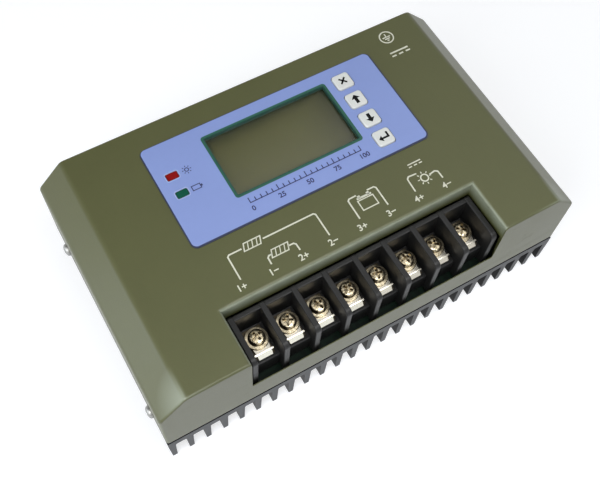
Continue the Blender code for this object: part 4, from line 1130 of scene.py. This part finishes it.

# %% [markdown]
# ## The circuit boards
# Solder mask is green lacquer over copper. Tracks show through it as slightly paler, raised paths,
# so the finish has two sets of stepped stripes that switch from one to the other in patches. Both
# greens are written far darker than real solder mask: painted shade for the deep trench in front
# of the terminal block, where the board shows.

# %% Board finish
# Painted shade: board and track greens darkened well below the mask's own colour.
SHADED_BOARD, SHADED_TRACK = (0.0014, 0.0052, 0.0030), (0.0024, 0.0095, 0.0052)
green_board, shader, spot = finish("green_board", SHADED_BOARD, 0.5, (70.0, 0.15), Specular_IOR_Level=0.12)
lanes = xyz(arrows("FRACTION", arrows("MULTIPLY", spot, (260.0, 260.0, 0.0))))
patches = ramp(noise(spot, 55.0, 0.0), 0.48, 0.52)
lane = blend(patches, lanes[0], lanes[1], "FLOAT")
overlay(shader, masked(ramp(lane, 0.50, 0.55), (lane, 0.95, 0.90)), SHADED_TRACK)
print("board finish:", len(green_board.node_tree.nodes), "nodes")

# %% [markdown]
# ## Solids that keep their shape
# Films, boards and the parts on them are already right as solids, so they only take a finish.

# %% Finishes on solids
carried = {
    "face_label": label_film,
    "display_window": clear_sheet,
    "lcd_frame": plated_steel,
    "lcd_panel": lcd_glass,
    "display_board": green_board,
    "charge_led": red_lens,
    "battery_led": green_lens,
    "main_board": green_board,
    "transistor_pad": grey_silicone,
    "transistor_bar": plated_steel,
    "bulk_capacitor": blue_sleeve,
    "ribbon_cable": grey_cable,
}
carried |= {f"{name}_switch": black_moulded for name in KEY_YS}
carried |= {f"board_standoff_{number}": white_nylon for number in range(1, 5)}
carried |= {f"power_transistor_{number}": black_moulded for number in range(1, 5)}
# The terminal contacts take the brass darkened as painted shade.
carried |= {f"terminal_contact_{number}": dull_brass for number in range(1, WAYS + 1)}
for name, material in carried.items():
    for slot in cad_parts[name].material_slots:
        slot.material = material
print("finished solids:", len(carried))

# %% [markdown]
# ## Floor and light
# The photograph was lit softly on a white ground. The floor is a grey sheet that keeps the shadow
# and throws little light back up. Light Path lets the camera, mirrors and glass see it as white,
# because it glows for those rays alone. A sheet that is white to every ray would flood the box
# with light from below.


# %% Floor
FLOOR = 3.0
FLOOR_GREY, FLOOR_GLOW, WHITE = (0.44, 0.46, 0.49, 1.0), 0.68, (1.0, 1.0, 1.0)


def seen_directly(tree):
    """1 for rays from the camera, from a mirror or through glass, and 0 for scattered light."""
    paths = node(tree, "ShaderNodeLightPath")
    seen = sums("MAXIMUM", paths["Is Camera Ray"], paths["Is Glossy Ray"])
    return sums("MAXIMUM", seen, paths["Is Transmission Ray"])


floor_mesh = bpy.data.meshes.new("floor")
ground = [(-FLOOR, -FLOOR, 0), (FLOOR, -FLOOR, 0), (FLOOR, FLOOR, 0), (-FLOOR, FLOOR, 0)]
floor_mesh.from_pydata(ground, [], [(0, 1, 2, 3)])
floor = bpy.data.objects.new("floor", floor_mesh)
bpy.context.scene.collection.objects.link(floor)
floor_white = bpy.data.materials.new("floor_white")
floor_white.use_nodes = True
tree = floor_white.node_tree
shader = tree.nodes["Principled BSDF"]
shader.inputs["Base Color"].default_value = FLOOR_GREY
shader.inputs["Roughness"].default_value = 0.9
shader.inputs["Specular IOR Level"].default_value = 0.0
shader.inputs["Emission Color"].default_value = (*WHITE, 1.0)
feed(shader.inputs["Emission Strength"], sums("MULTIPLY", seen_directly(tree), FLOOR_GLOW))
floor_mesh.materials.append(floor_white)
print("floor ready")

# %% [markdown]
# The world gives only a little even light, but mirrors see more in it. It is white low down and
# grey above. Overhead it is dark behind the box and paler in front and on the right, which the
# satin cover shows as a slow change from its back to its front. Then four square lamps stand round
# the box. The key lamp is high on the left and in front. A weaker one hangs over the terminals, a
# low one on the left is mirrored in the sloped shoulder, and a faint one in front is mirrored in
# the lips of the wire clamps.

# %% World and lamps
AMBIENT = 0.22
world = bpy.data.worlds.new("studio")
world.use_nodes = True
bpy.context.scene.world = world
tree = world.node_tree
background = tree.nodes["Background"].inputs
x, y, z = xyz(node(tree, "ShaderNodeTexCoord")["Generated"])
overhead = ramp(z, 0.50, 0.70)
to_back = sums("MULTIPLY", overhead, ramp(y, 0.43, 0.53, 0.40, -0.50))
to_right = sums("MULTIPLY", overhead, ramp(x, 0.40, 0.50, 0.0, 0.40))
sky = sums("ADD", ramp(z, 0.05, 0.75, 1.0, 0.50), sums("ADD", to_back, to_right))
extra = sums("SUBTRACT", sky, AMBIENT)
feed(background["Color"], (*WHITE, 1.0))
feed(background["Strength"], sums("MULTIPLY_ADD", seen_directly(tree), extra, AMBIENT))

LAMPS = {
    "key_lamp": ((-0.48, -0.25, 0.50), 2.7, 0.40, WHITE),
    "top_lamp": ((0.05, -0.18, 0.50), 1.15, 0.30, WHITE),
    "side_lamp": ((-0.60, 0.08, 0.14), 0.95, 0.35, (0.86, 0.95, 1.0)),
    "front_lamp": ((0.08, -0.80, 0.40), 0.18, 0.30, (0.80, 0.93, 1.0)),
}
for name, (place, watts, size, colour) in LAMPS.items():
    lamp = bpy.data.objects.new(name, bpy.data.lights.new(name, "AREA"))
    lamp.data.energy, lamp.data.size, lamp.data.color = watts, size, colour
    lamp.location = place
    lamp.rotation_euler = (-Vector(place)).to_track_quat("-Z", "Y").to_euler()
    bpy.context.scene.collection.objects.link(lamp)
print("lamps:", ", ".join(LAMPS))
